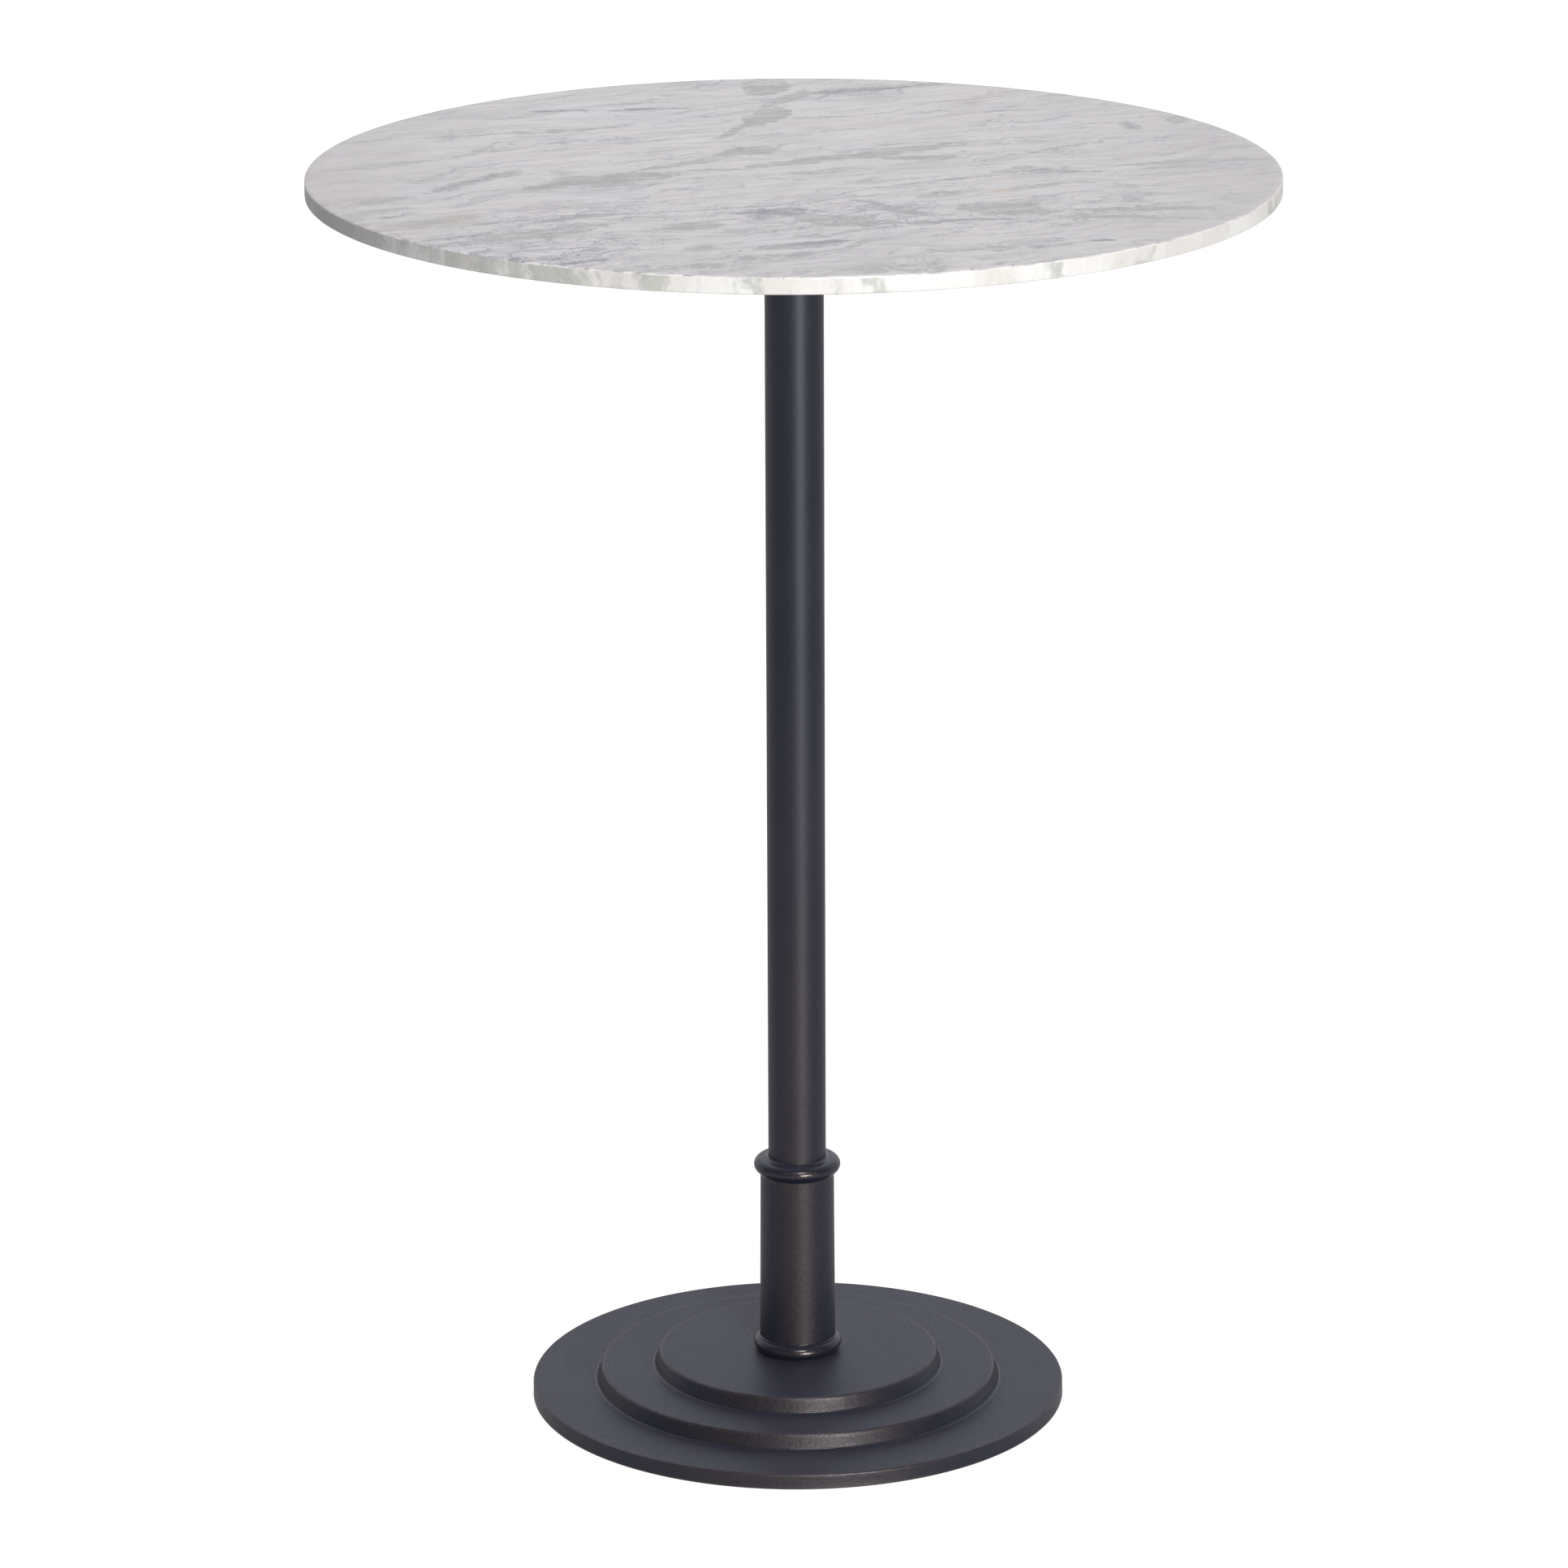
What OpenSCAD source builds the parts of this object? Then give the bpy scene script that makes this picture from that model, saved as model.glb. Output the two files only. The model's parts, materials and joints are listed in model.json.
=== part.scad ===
// Bar-height pedestal table: round marble top, tubular column, stepped cast base.
// Millimetres, +Z up. The origin is on the floor, at the centre of the base.

/* [Overall] */
// Height of the table, floor to top face
table_h = 1067; // [1000:1:1120]

/* [Marble top] */
// Diameter of the slab
top_d = 800; // [700:5:900]
// Thickness of the slab
top_t = 14; // [13:0.5:20]
// Radius of the eased upper arris
top_arris = 1.6; // [0.5:0.1:3]
// Radius of the eased lower arris
top_lower_arris = 1; // [0.5:0.1:2]

/* [Column] */
// Outside diameter of the tube
column_d = 49; // [48:0.1:50]
// Wall of the tube
column_wall = 3; // [2:0.1:4]

/* [Sleeve and collars] */
// Outside diameter of the sleeve under the upper collar
sleeve_top_d = 62.8; // [62:0.1:63.5]
// Outside diameter of the sleeve at its foot
sleeve_foot_d = 64.8; // [64:0.1:65.5]
// Wall of the sleeve between its two locating lands
sleeve_wall = 5; // [4:0.1:5.5]
// Height of the upper collar's widest line above the floor
collar_z = 206.5; // [180:0.5:240]
// Largest diameter of the upper collar
collar_d = 73.8; // [73:0.1:75]
// Largest diameter of the lower collar
lower_collar_d = 74.6; // [74:0.1:76]
// Height of the lower collar
lower_collar_h = 14.2; // [13.5:0.1:16]

/* [Base] */
// Diameter of the base at the floor
base_d = 455; // [440:1:480]
// Height of the rim step
rim_h = 13.5; // [13:0.1:16]
// Height of each of the two upper steps
step_h = 12.75; // [12.5:0.05:15]
// Diameter of the middle step at its foot
middle_d = 345; // [340:1:350]
// Diameter of the upper step at its foot
upper_d = 245.5; // [240:0.5:250]
// How far each upper step draws in from foot to top, on the radius
step_draft = 3.5; // [2:0.1:4]
// Radius of the rounded outer arrises
base_arris = 2.2; // [1:0.1:3]
// Radius of the fillet at the foot of each step
foot_fillet = 1.6; // [1:0.1:2]
// Thickness of the casting under the steps
casting_t = 8; // [7:0.1:8.5]
// Thickness of the casting under the rim step
rim_t = 7; // [6:0.1:7.5]
// Width of the ring that stands on the floor
foot_ring_w = 14; // [10:1:18]
// Thickness of the ribs underneath
rib_t = 6; // [5:0.5:8]

/* [Top spider] */
// Radius of the circle of top screws
screw_circle_r = 175; // [150:1:190]
// Thickness of the spider's arms
arm_t = 8; // [7:0.5:9]
// Thickness of the cushion pads under the slab
cushion_t = 2; // [1.5:0.1:2.5]
// Outside diameter of the hub
hub_d = 68; // [67:0.5:72]
// Depth of the socket that holds the column
socket_depth = 27.5; // [24:0.5:30]

/* [Tie rod] */
// Diameter of the tie rod
rod_d = 12; // [12:0.1:12.4]
// Diameter of the plate washer under the base
plate_washer_d = 60; // [50:1:70]

/* [Levelling glides] */
// Radius of the circle of glides
glide_circle_r = 150; // [146:0.5:151]
// Gap between the floor and a glide that is screwed right in
glide_gap = 0.5; // [0.3:0.1:0.8]
// Diameter of the swivel pad
pad_d = 32; // [28:0.5:34]
// Diameter of the threaded stem
stem_d = 8; // [7.8:0.1:8]

/* [Hidden] */
$fn = 96;

// Gap all round between parts that are slid together
slip = 0.1;
// Gap all round between parts that turn in each other
running = 0.05;

// Slab
slab_z = table_h - top_t;
top_r = top_d / 2;
insert_d = 9.5;
insert_h = 10;
insert_hole_h = insert_h + 0.5;

// Top screws, M6
screw_d = 6;
screw_length = 20;
screw_head_af = 10;
screw_head_h = 4;
screw_washer_d = 18;
screw_washer_t = 1.6;
screw_hole_d = 7;

// Spider
spider_z = slab_z - cushion_t;
arm_z = spider_z - arm_t;
hub_plate_d = 110;
arm_root_w = 44;
arm_tip_w = 26;
tip_d = 40;
arm_rib_t = 7;
arm_rib_depth = 24;
arm_rib_end_depth = 3;
arm_rib_end_r = 148;
hub_web_t = 10;
nut_recess_d = 30;
nut_recess_depth = 13.5;
web_z = spider_z - nut_recess_depth - hub_web_t;
hub_z = web_z - socket_depth;

// Column
column_r = column_d / 2;
column_bore_r = column_r - column_wall;
base_top_z = rim_h + 2 * step_h;
column_top_z = web_z;

// Tie rod and its nuts, M12
rod_hole_d = rod_d + 1;
nut_af = 18;
nut_h = 10.8;
rod_end_z = 2;
rod_top_end_z = spider_z + 0.5;
top_washer_t = 2.5;
top_washer_d = 24;
boss_z = 22;
boss_d = 90;
plate_washer_t = 4;
spring_washer_t = 3;
spring_washer_d = 21;
spring_washer_slit = 1.4;

// Base
base_r = base_d / 2;
middle_foot_r = middle_d / 2;
upper_foot_r = upper_d / 2;
rim_edge_arris = 2;
floor_chamfer = 1;
spigot_r = column_bore_r - 0.2;
spigot_h = 22;
spigot_chamfer = 1.5;
rib_z = 6;
short_rib_z = 16;

// Sleeve and collars
sleeve_top_r = sleeve_top_d / 2;
sleeve_foot_r = sleeve_foot_d / 2;
land_h = 12;
collar_below = 9;
collar_above = 7.4;
sleeve_top_z = collar_z - collar_below;
collar_bore_r = column_r + slip;
lower_bore_r = sleeve_foot_r + slip;
// Grub screws sit side by side at the back, in the upper collar and in the hub
set_screw_angles = [65, 115];
collar_screw_d = 5;
collar_screw_length = 9;
hub_screw_d = 8;
hub_screw_length = 8;
hub_screw_z = hub_z + 12;

// Glides
pad_h = 6;
pad_rim_h = 2.5;
pad_neck_d = 14;
ball_r = 3;
ball_z = glide_gap + 4;
neck_d = 3.8;
hex_af = 13;
hex_h = 4;
hex_z = glide_gap + 7;
stem_length = 10.5;
glide_boss_z = hex_z + hex_h + 0.2;
glide_boss_d = 20;
stem_hole_depth = 10.6;

// Colours
marble_colour = [0.80, 0.79, 0.81];
bronze_colour = [0.20, 0.20, 0.24];
casting_colour = [0.14, 0.14, 0.15];
zinc_colour = [0.72, 0.72, 0.70];
brass_colour = [0.78, 0.62, 0.32];
cork_colour = [0.70, 0.53, 0.36];
nylon_colour = [0.10, 0.10, 0.10];

// Points along an arc, from angle a to angle b
function arc(x, z, r, a, b, steps = 6) =
    [for (i = [0:steps]) [x + r * cos(a + (b - a) * i / steps), z + r * sin(a + (b - a) * i / steps)]];

// Outline of one drafted step, from its rounded arris down to the fillet at its foot
function step_outline(foot_r, top_z, foot_z) =
    concat(
        arc(foot_r - step_draft - base_arris, top_z - base_arris, base_arris, 90, 10),
        arc(foot_r + foot_fillet, foot_z + foot_fillet, foot_fillet, 190, 270)
    );

module ring(outer_r, inner_r, h) {
    difference() {
        cylinder(r = outer_r, h = h);
        translate([0, 0, -1])
            cylinder(r = inner_r, h = h + 2);
    }
}

module hexagon(af, h) {
    cylinder(d = af / cos(30), h = h, $fn = 6);
}

module hex_nut(af, h, hole_r) {
    difference() {
        intersection() {
            hexagon(af, h);
            rotate_extrude()
                polygon([
                    [0, 0], [af * 0.5, 0], [af * 0.6, af * 0.06],
                    [af * 0.6, h - af * 0.06], [af * 0.5, h], [0, h]
                ]);
        }
        translate([0, 0, -1])
            cylinder(r = hole_r, h = h + 2);
    }
}

// Headless screw along +X, its flat end at x = 0 and its hex socket at the far end
module grub_screw(d, length, socket_af) {
    rotate([0, 90, 0])
        difference() {
            rotate_extrude()
                polygon([
                    [0, 0], [d * 0.3, 0], [d / 2, d * 0.2],
                    [d / 2, length - d * 0.08], [d * 0.42, length], [0, length]
                ]);
            translate([0, 0, length * 0.55])
                hexagon(socket_af, length);
        }
}

module at_screws() {
    for (a = [45:90:315])
        rotate(a)
            translate([screw_circle_r, 0, 0])
                children();
}

module at_glide(n) {
    rotate(90 * n - 45)
        translate([glide_circle_r, 0, 0])
            children();
}

module marble_top() {
    color(marble_colour)
        difference() {
            rotate_extrude($fn = 180)
                polygon(concat(
                    [[0, slab_z]],
                    arc(top_r - top_lower_arris, slab_z + top_lower_arris, top_lower_arris, -90, 0, 4),
                    arc(top_r - top_arris, table_h - top_arris, top_arris, 0, 90),
                    [[0, table_h]]
                ));
            at_screws()
                translate([0, 0, slab_z - 1])
                    cylinder(d = insert_d + 2 * running, h = insert_hole_h + 1);
        }
}

module top_inserts() {
    color(brass_colour)
        translate([0, 0, slab_z])
            at_screws()
                ring(insert_d / 2, screw_d / 2 + running, insert_h);
}

module top_screws() {
    color(zinc_colour)
        translate([0, 0, arm_z - screw_washer_t])
            at_screws() {
                cylinder(d = screw_d, h = screw_length);
                translate([0, 0, -screw_head_h])
                    hex_nut(screw_head_af, screw_head_h, 0);
            }
}

module top_washers() {
    color(zinc_colour)
        translate([0, 0, arm_z - screw_washer_t])
            at_screws()
                ring(screw_washer_d / 2, screw_d / 2 + slip, screw_washer_t);
}

module cushion_pads() {
    color(cork_colour)
        translate([0, 0, spider_z])
            at_screws()
                ring(tip_d / 2 - 1, screw_hole_d / 2 + 1, cushion_t);
}

module spider_plate() {
    circle(d = hub_plate_d);
    for (a = [45:90:315])
        rotate(a) {
            polygon([
                [0, -arm_root_w / 2], [screw_circle_r, -arm_tip_w / 2],
                [screw_circle_r, arm_tip_w / 2], [0, arm_root_w / 2]
            ]);
            translate([screw_circle_r, 0])
                circle(d = tip_d);
        }
}

module arm_rib() {
    translate([0, arm_rib_t / 2, 0])
        rotate([90, 0, 0])
            linear_extrude(arm_rib_t)
                polygon([
                    [hub_d / 2 - 2, arm_z + 1], [arm_rib_end_r, arm_z + 1],
                    [arm_rib_end_r, arm_z - arm_rib_end_depth], [hub_d / 2 - 2, arm_z - arm_rib_depth]
                ]);
}

module top_spider() {
    color(casting_colour)
        difference() {
            union() {
                translate([0, 0, arm_z])
                    linear_extrude(arm_t)
                        spider_plate();
                translate([0, 0, hub_z])
                    cylinder(d = hub_d, h = arm_z + 1 - hub_z);
                for (a = [45:90:315])
                    rotate(a)
                        arm_rib();
            }
            translate([0, 0, hub_z - 1])
                cylinder(r = column_r + slip, h = socket_depth + 1);
            translate([0, 0, hub_z])
                cylinder(d = rod_hole_d, h = spider_z - hub_z);
            translate([0, 0, spider_z - nut_recess_depth])
                cylinder(d = nut_recess_d, h = nut_recess_depth + 1);
            at_screws()
                translate([0, 0, arm_z - 1])
                    cylinder(d = screw_hole_d, h = arm_t + 2);
            for (a = set_screw_angles)
                rotate(a)
                    translate([0, 0, hub_screw_z])
                        rotate([0, 90, 0])
                            cylinder(d = hub_screw_d + 2 * running, h = hub_d);
        }
}

module hub_set_screws() {
    color(zinc_colour)
        for (a = set_screw_angles)
            rotate(a)
                translate([column_r + running, 0, hub_screw_z])
                    grub_screw(hub_screw_d, hub_screw_length, 4);
}

module column_tube() {
    color(bronze_colour)
        translate([0, 0, base_top_z])
            ring(column_r, column_bore_r, column_top_z - base_top_z);
}

module tie_rod() {
    color(zinc_colour)
        translate([0, 0, rod_end_z])
            cylinder(d = rod_d, h = rod_top_end_z - rod_end_z);
}

module rod_top_washer() {
    color(zinc_colour)
        translate([0, 0, spider_z - nut_recess_depth])
            ring(top_washer_d / 2, rod_d / 2 + slip, top_washer_t);
}

module rod_top_nut() {
    color(zinc_colour)
        translate([0, 0, spider_z - nut_recess_depth + top_washer_t])
            hex_nut(nut_af, nut_h, rod_d / 2 + running);
}

module rod_plate_washer() {
    color(zinc_colour)
        translate([0, 0, boss_z - plate_washer_t])
            ring(plate_washer_d / 2, rod_d / 2 + slip, plate_washer_t);
}

module rod_spring_washer() {
    color(zinc_colour)
        translate([0, 0, boss_z - plate_washer_t - spring_washer_t])
            difference() {
                ring(spring_washer_d / 2, rod_d / 2 + slip, spring_washer_t);
                translate([-spring_washer_slit / 2, 0, -1])
                    cube([spring_washer_slit, spring_washer_d, spring_washer_t + 2]);
            }
}

module rod_bottom_nut() {
    color(zinc_colour)
        translate([0, 0, boss_z - plate_washer_t - spring_washer_t - nut_h])
            hex_nut(nut_af, nut_h, rod_d / 2 + running);
}

// Stepped shell of the base: outer outline down to the floor, then back along the underside
module base_shell() {
    middle_z = rim_h + step_h;
    rotate_extrude($fn = 180)
        polygon(concat(
            [[0, base_top_z]],
            step_outline(upper_foot_r, base_top_z, middle_z),
            step_outline(middle_foot_r, middle_z, rim_h),
            arc(base_r - rim_edge_arris, rim_h - rim_edge_arris, rim_edge_arris, 90, 0),
            [
                [base_r, floor_chamfer],
                [base_r - floor_chamfer, 0],
                [base_r - foot_ring_w, 0],
                [base_r - foot_ring_w - 2, rim_h - rim_t],
                [middle_foot_r - casting_t, rim_h - rim_t],
                [middle_foot_r - casting_t - 2, middle_z - casting_t],
                [upper_foot_r - casting_t, middle_z - casting_t],
                [upper_foot_r - casting_t - 2, base_top_z - casting_t],
                [0, base_top_z - casting_t]
            ]
        ));
}

// Radial bar under the casting, let 1 mm into the shell above it
module base_rib(length, bottom_z, ceiling_z) {
    translate([0, -rib_t / 2, bottom_z])
        cube([length, rib_t, ceiling_z + 1 - bottom_z]);
}

module long_rib() {
    base_rib(base_r - foot_ring_w + 1, rib_z, rim_h - rim_t);
    base_rib(middle_foot_r - 4, rib_z, rim_h + step_h - casting_t);
    base_rib(upper_foot_r - casting_t - 1, rib_z, base_top_z - casting_t);
}

module base_casting() {
    color(bronze_colour)
        difference() {
            union() {
                base_shell();
                for (a = [0:90:270]) {
                    rotate(a)
                        long_rib();
                    rotate(a + 45)
                        base_rib(upper_foot_r - casting_t - 1, short_rib_z, base_top_z - casting_t);
                }
                translate([0, 0, boss_z])
                    cylinder(d = boss_d, h = base_top_z - casting_t + 1 - boss_z);
                for (n = [1:4])
                    at_glide(n)
                        translate([0, 0, glide_boss_z])
                            cylinder(d = glide_boss_d, h = rim_h + step_h - casting_t + 1 - glide_boss_z);
                translate([0, 0, base_top_z - 1])
                    rotate_extrude()
                        polygon([
                            [0, 0], [spigot_r, 0], [spigot_r, spigot_h + 1 - spigot_chamfer],
                            [spigot_r - spigot_chamfer, spigot_h + 1], [0, spigot_h + 1]
                        ]);
            }
            cylinder(d = rod_hole_d, h = 2 * base_top_z);
            cylinder(d = plate_washer_d + 6, h = boss_z);
            for (n = [1:4])
                at_glide(n)
                    translate([0, 0, glide_boss_z - 1])
                        cylinder(d = stem_d + 2 * running, h = stem_hole_depth + 1);
        }
}

module column_sleeve() {
    height = sleeve_top_z - base_top_z;
    bore_r = sleeve_top_r - sleeve_wall;
    land_r = column_r + slip;
    color(bronze_colour)
        translate([0, 0, base_top_z])
            rotate_extrude()
                polygon([
                    [land_r, 0], [sleeve_foot_r, 0], [sleeve_top_r, height], [land_r, height],
                    [land_r, height - land_h], [bore_r, height - land_h - 2],
                    [bore_r, land_h + 2], [land_r, land_h]
                ]);
}

module upper_collar() {
    widest = collar_d / 2;
    color(bronze_colour)
        translate([0, 0, collar_z])
            difference() {
                rotate_extrude()
                    polygon(concat(
                        [
                            [collar_bore_r, -collar_below],
                            [sleeve_top_r, -collar_below]
                        ],
                        arc(sleeve_top_r + 1.3, -collar_below + 1.3, 1.3, 200, 150, 3),
                        arc(widest - 6.2, 0, 6.2, -50, 62, 10),
                        [
                            [collar_bore_r + 1.2, collar_above - 0.6],
                            [collar_bore_r, collar_above]
                        ]
                    ));
                for (a = set_screw_angles)
                    rotate(a)
                        rotate([0, 90, 0])
                            cylinder(d = collar_screw_d + 2 * running, h = collar_d);
            }
}

module collar_set_screws() {
    color(zinc_colour)
        translate([0, 0, collar_z])
            for (a = set_screw_angles)
                rotate(a)
                    translate([column_r + running, 0, 0])
                        grub_screw(collar_screw_d, collar_screw_length, 2.5);
}

module lower_collar() {
    widest = lower_collar_d / 2;
    color(bronze_colour)
        translate([0, 0, base_top_z])
            rotate_extrude()
                polygon(concat(
                    [
                        [lower_bore_r, 0],
                        [widest - 1.2, 0]
                    ],
                    arc(widest - 6, lower_collar_h * 0.45, 6, -40, 66, 10),
                    [
                        [lower_bore_r + 1, lower_collar_h - 0.8],
                        [lower_bore_r, lower_collar_h]
                    ]
                ));
}

module glide_pad(n) {
    socket_r = ball_r + running;
    mouth_z = glide_gap + pad_h;
    mouth_r = sqrt(pow(socket_r, 2) - pow(mouth_z - ball_z, 2));
    color(nylon_colour)
        at_glide(n)
            rotate_extrude()
                polygon(concat(
                    [
                        [0, glide_gap],
                        [pad_d / 2 - 1, glide_gap],
                        [pad_d / 2, glide_gap + 1],
                        [pad_d / 2, glide_gap + pad_rim_h],
                        [pad_neck_d / 2 + 1, glide_gap + pad_rim_h + 1],
                        [pad_neck_d / 2, mouth_z],
                        [mouth_r, mouth_z]
                    ],
                    arc(0, ball_z, socket_r, acos(mouth_r / socket_r), -90, 14)
                ));
}

module glide_stem(n) {
    neck_base_z = ball_z + sqrt(pow(ball_r, 2) - pow(neck_d / 2, 2));
    color(zinc_colour)
        at_glide(n) {
            rotate_extrude()
                polygon(concat(
                    arc(0, ball_z, ball_r, -90, acos(neck_d / 2 / ball_r), 14),
                    [
                        [neck_d / 2, hex_z],
                        [0, hex_z]
                    ]
                ));
            translate([0, 0, hex_z])
                hex_nut(hex_af, hex_h, 0);
            translate([0, 0, hex_z + hex_h])
                cylinder(d = stem_d, h = stem_length);
        }
}

marble_top();
top_inserts();
top_screws();
top_washers();
cushion_pads();
top_spider();
hub_set_screws();
column_tube();
tie_rod();
rod_top_washer();
rod_top_nut();
rod_plate_washer();
rod_spring_washer();
rod_bottom_nut();
base_casting();
column_sleeve();
upper_collar();
collar_set_screws();
lower_collar();
glide_pad(1);  // glide_pad_1
glide_pad(2);  // glide_pad_2
glide_pad(3);  // glide_pad_3
glide_pad(4);  // glide_pad_4
glide_stem(1);  // glide_stem_1
glide_stem(2);  // glide_stem_2
glide_stem(3);  // glide_stem_3
glide_stem(4);  // glide_stem_4
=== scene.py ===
import json
import math

import bmesh
import bpy
import numpy as np
from mathutils import Matrix, Vector, noise


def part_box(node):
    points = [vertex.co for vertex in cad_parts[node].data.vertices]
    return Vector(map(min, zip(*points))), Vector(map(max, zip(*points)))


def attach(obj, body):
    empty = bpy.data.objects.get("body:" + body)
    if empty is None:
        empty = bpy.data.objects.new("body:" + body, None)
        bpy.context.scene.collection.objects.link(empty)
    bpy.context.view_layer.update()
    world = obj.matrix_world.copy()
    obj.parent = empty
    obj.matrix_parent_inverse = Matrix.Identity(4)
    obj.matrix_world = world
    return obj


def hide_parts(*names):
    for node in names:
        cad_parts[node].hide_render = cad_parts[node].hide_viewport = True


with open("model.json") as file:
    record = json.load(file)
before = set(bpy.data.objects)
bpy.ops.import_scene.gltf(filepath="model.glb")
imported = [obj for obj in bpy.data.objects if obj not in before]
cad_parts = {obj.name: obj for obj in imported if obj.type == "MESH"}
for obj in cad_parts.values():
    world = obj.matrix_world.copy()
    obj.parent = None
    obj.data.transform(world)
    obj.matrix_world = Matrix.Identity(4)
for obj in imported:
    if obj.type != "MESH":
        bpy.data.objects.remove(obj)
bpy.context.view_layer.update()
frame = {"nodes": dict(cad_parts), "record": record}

MM = 0.001
TABLE = "table"

# ---------------------------------------------------------------- places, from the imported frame

slab_low, slab_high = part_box("marble_top")
column_low, column_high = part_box("column_tube")
sleeve_low, sleeve_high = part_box("column_sleeve")
upper_low, upper_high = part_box("upper_collar")
lower_low, lower_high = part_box("lower_collar")
base_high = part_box("base_casting")[1]

SLAB_R = slab_high.x
COLUMN_R = column_high.x
COLUMN_WALL = 3 * MM
COLUMN_BORE_R = COLUMN_R - COLUMN_WALL
SLEEVE_TOP_R = 31.4 * MM
SLIP = 0.1 * MM
BASE_R = base_high.x
BASE_TOP = lower_low.z
GLIDE_CIRCLE_R = 150 * MM
GLIDE_GAP = 0.5 * MM
BALL_R = 3 * MM
BALL_Z = GLIDE_GAP + 4 * MM


# ---------------------------------------------------------------- mesh tools

def arc(x, z, r, a, b, steps=6):
    """Points along an arc in the (radius, height) plane, from angle a to angle b in degrees."""
    angles = np.radians(np.linspace(a, b, steps + 1))
    return [(x + r * math.cos(t), z + r * math.sin(t)) for t in angles]


def densify(points, step):
    """The same open outline with extra points, so that no stretch is longer than step."""
    dense = []
    for (r0, z0), (r1, z1) in zip(points, points[1:]):
        pieces = max(1, math.ceil(math.hypot(r1 - r0, z1 - z0) / step))
        dense += [(r0 + (r1 - r0) * i / pieces, z0 + (z1 - z0) * i / pieces) for i in range(pieces)]
    return dense + [points[-1]]


def bend_of(points):
    """How sharply a closed outline turns at each point, per millimetre: above 0 where it is convex."""
    p = np.array(points)
    before, after = p - np.roll(p, 1, 0), np.roll(p, -1, 0) - p
    cross = before[:, 0] * after[:, 1] - before[:, 1] * after[:, 0]
    turn = np.arctan2(cross, (before * after).sum(1))
    length = (np.linalg.norm(before, axis=1) + np.linalg.norm(after, axis=1)) / 2
    area = np.sum(p[:, 0] * np.roll(p[:, 1], -1) - np.roll(p[:, 0], -1) * p[:, 1])
    return np.sign(area) * turn / np.maximum(length / MM, 0.3)


def mesh_object(name, vertices, faces):
    mesh = bpy.data.meshes.new(name)
    mesh.from_pydata([tuple(v) for v in vertices], [], [tuple(f) for f in faces])
    mesh.update()
    made = bpy.data.objects.new(name, mesh)
    bpy.context.scene.collection.objects.link(made)
    return made


def lathe(name, outline, segments, on_axis=False):
    """Turns an outline round the Z axis. A closed outline makes a ring; one that starts and ends
    beside the axis (on_axis) is capped there. Stores how the outline bends as the attribute bend."""
    outline = np.array(outline)
    n = len(outline)
    theta = np.arange(segments) * 2 * math.pi / segments
    r, z = outline[:, 0], outline[:, 1]
    vertices = np.stack([
        np.outer(np.cos(theta), r), np.outer(np.sin(theta), r), np.broadcast_to(z, (segments, n))
    ], -1).reshape(-1, 3)
    i = np.arange(segments)[:, None]
    j = np.arange(n - 1 if on_axis else n)[None, :]
    here, there = i * n, (i + 1) % segments * n
    faces = np.stack([here + j, there + j, there + (j + 1) % n, here + (j + 1) % n], -1)
    faces = faces.reshape(-1, 4).tolist()
    if on_axis:
        faces.append([k * n for k in reversed(range(segments))])
        faces.append([k * n + n - 1 for k in range(segments)])
    made = mesh_object(name, vertices, faces)
    bend = np.tile(bend_of(outline), segments).astype(np.float32)
    made.data.attributes.new("bend", "FLOAT", "POINT").data.foreach_set("value", bend)
    turn_outward(made)
    return made


def turn_outward(piece):
    made = bmesh.new()
    made.from_mesh(piece.data)
    bmesh.ops.recalc_face_normals(made, faces=made.faces)
    made.to_mesh(piece.data)
    made.free()


def smooth(piece, angle=40):
    piece.data.shade_smooth()
    piece.data.set_sharp_from_angle(angle=math.radians(angle))


def relief(piece, depth_at):
    """Sinks each vertex along its normal by depth_at(position, normal), in metres. Never outward."""
    mesh = piece.data
    sunk = [v.co - v.normal * max(0.0, depth_at(v.co, v.normal)) for v in mesh.vertices]
    for v, co in zip(mesh.vertices, sunk):
        v.co = co
    mesh.update()


def lumps(co, size, seed=0.0, octaves=2):
    """Smooth noise from 0 to 1 with features of about this size."""
    p = Vector((co.x / size + seed, co.y / size - seed, co.z / size + 2 * seed))
    return 0.5 + 0.5 * noise.fractal(p, 1.0, 2.0, octaves)


def cylinder(name, radius, low, high, segments=48):
    """A closed cylinder between two points."""
    low, high = Vector(low), Vector(high)
    made = bmesh.new()
    bmesh.ops.create_cone(
        made, cap_ends=True, segments=segments, radius1=radius, radius2=radius, depth=(high - low).length
    )
    turn = Vector((0, 0, 1)).rotation_difference(high - low).to_matrix().to_4x4()
    made.transform(Matrix.Translation((low + high) / 2) @ turn)
    mesh = bpy.data.meshes.new(name)
    made.to_mesh(mesh)
    made.free()
    piece = bpy.data.objects.new(name, mesh)
    bpy.context.scene.collection.objects.link(piece)
    return piece


def combine(piece, tools, operation):
    """Joins tools to piece, or cuts them out of it, and removes them."""
    group = bpy.data.collections.new("tools")
    for tool in tools:
        bpy.context.scene.collection.objects.unlink(tool)
        group.objects.link(tool)
    bpy.context.scene.collection.children.link(group)
    step = piece.modifiers.new("combine", "BOOLEAN")
    step.operation = operation
    step.operand_type = "COLLECTION"
    step.collection = group
    step.solver = "MANIFOLD"
    depsgraph = bpy.context.evaluated_depsgraph_get()
    result = bpy.data.meshes.new_from_object(piece.evaluated_get(depsgraph))
    result.materials.clear()
    piece.modifiers.clear()
    piece.data = result
    for tool in tools:
        bpy.data.objects.remove(tool)
    bpy.data.collections.remove(group)
    return piece


def stand_for(piece, node, body):
    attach(piece, body)
    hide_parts(node)
    return piece


# ---------------------------------------------------------------- node tools

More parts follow.
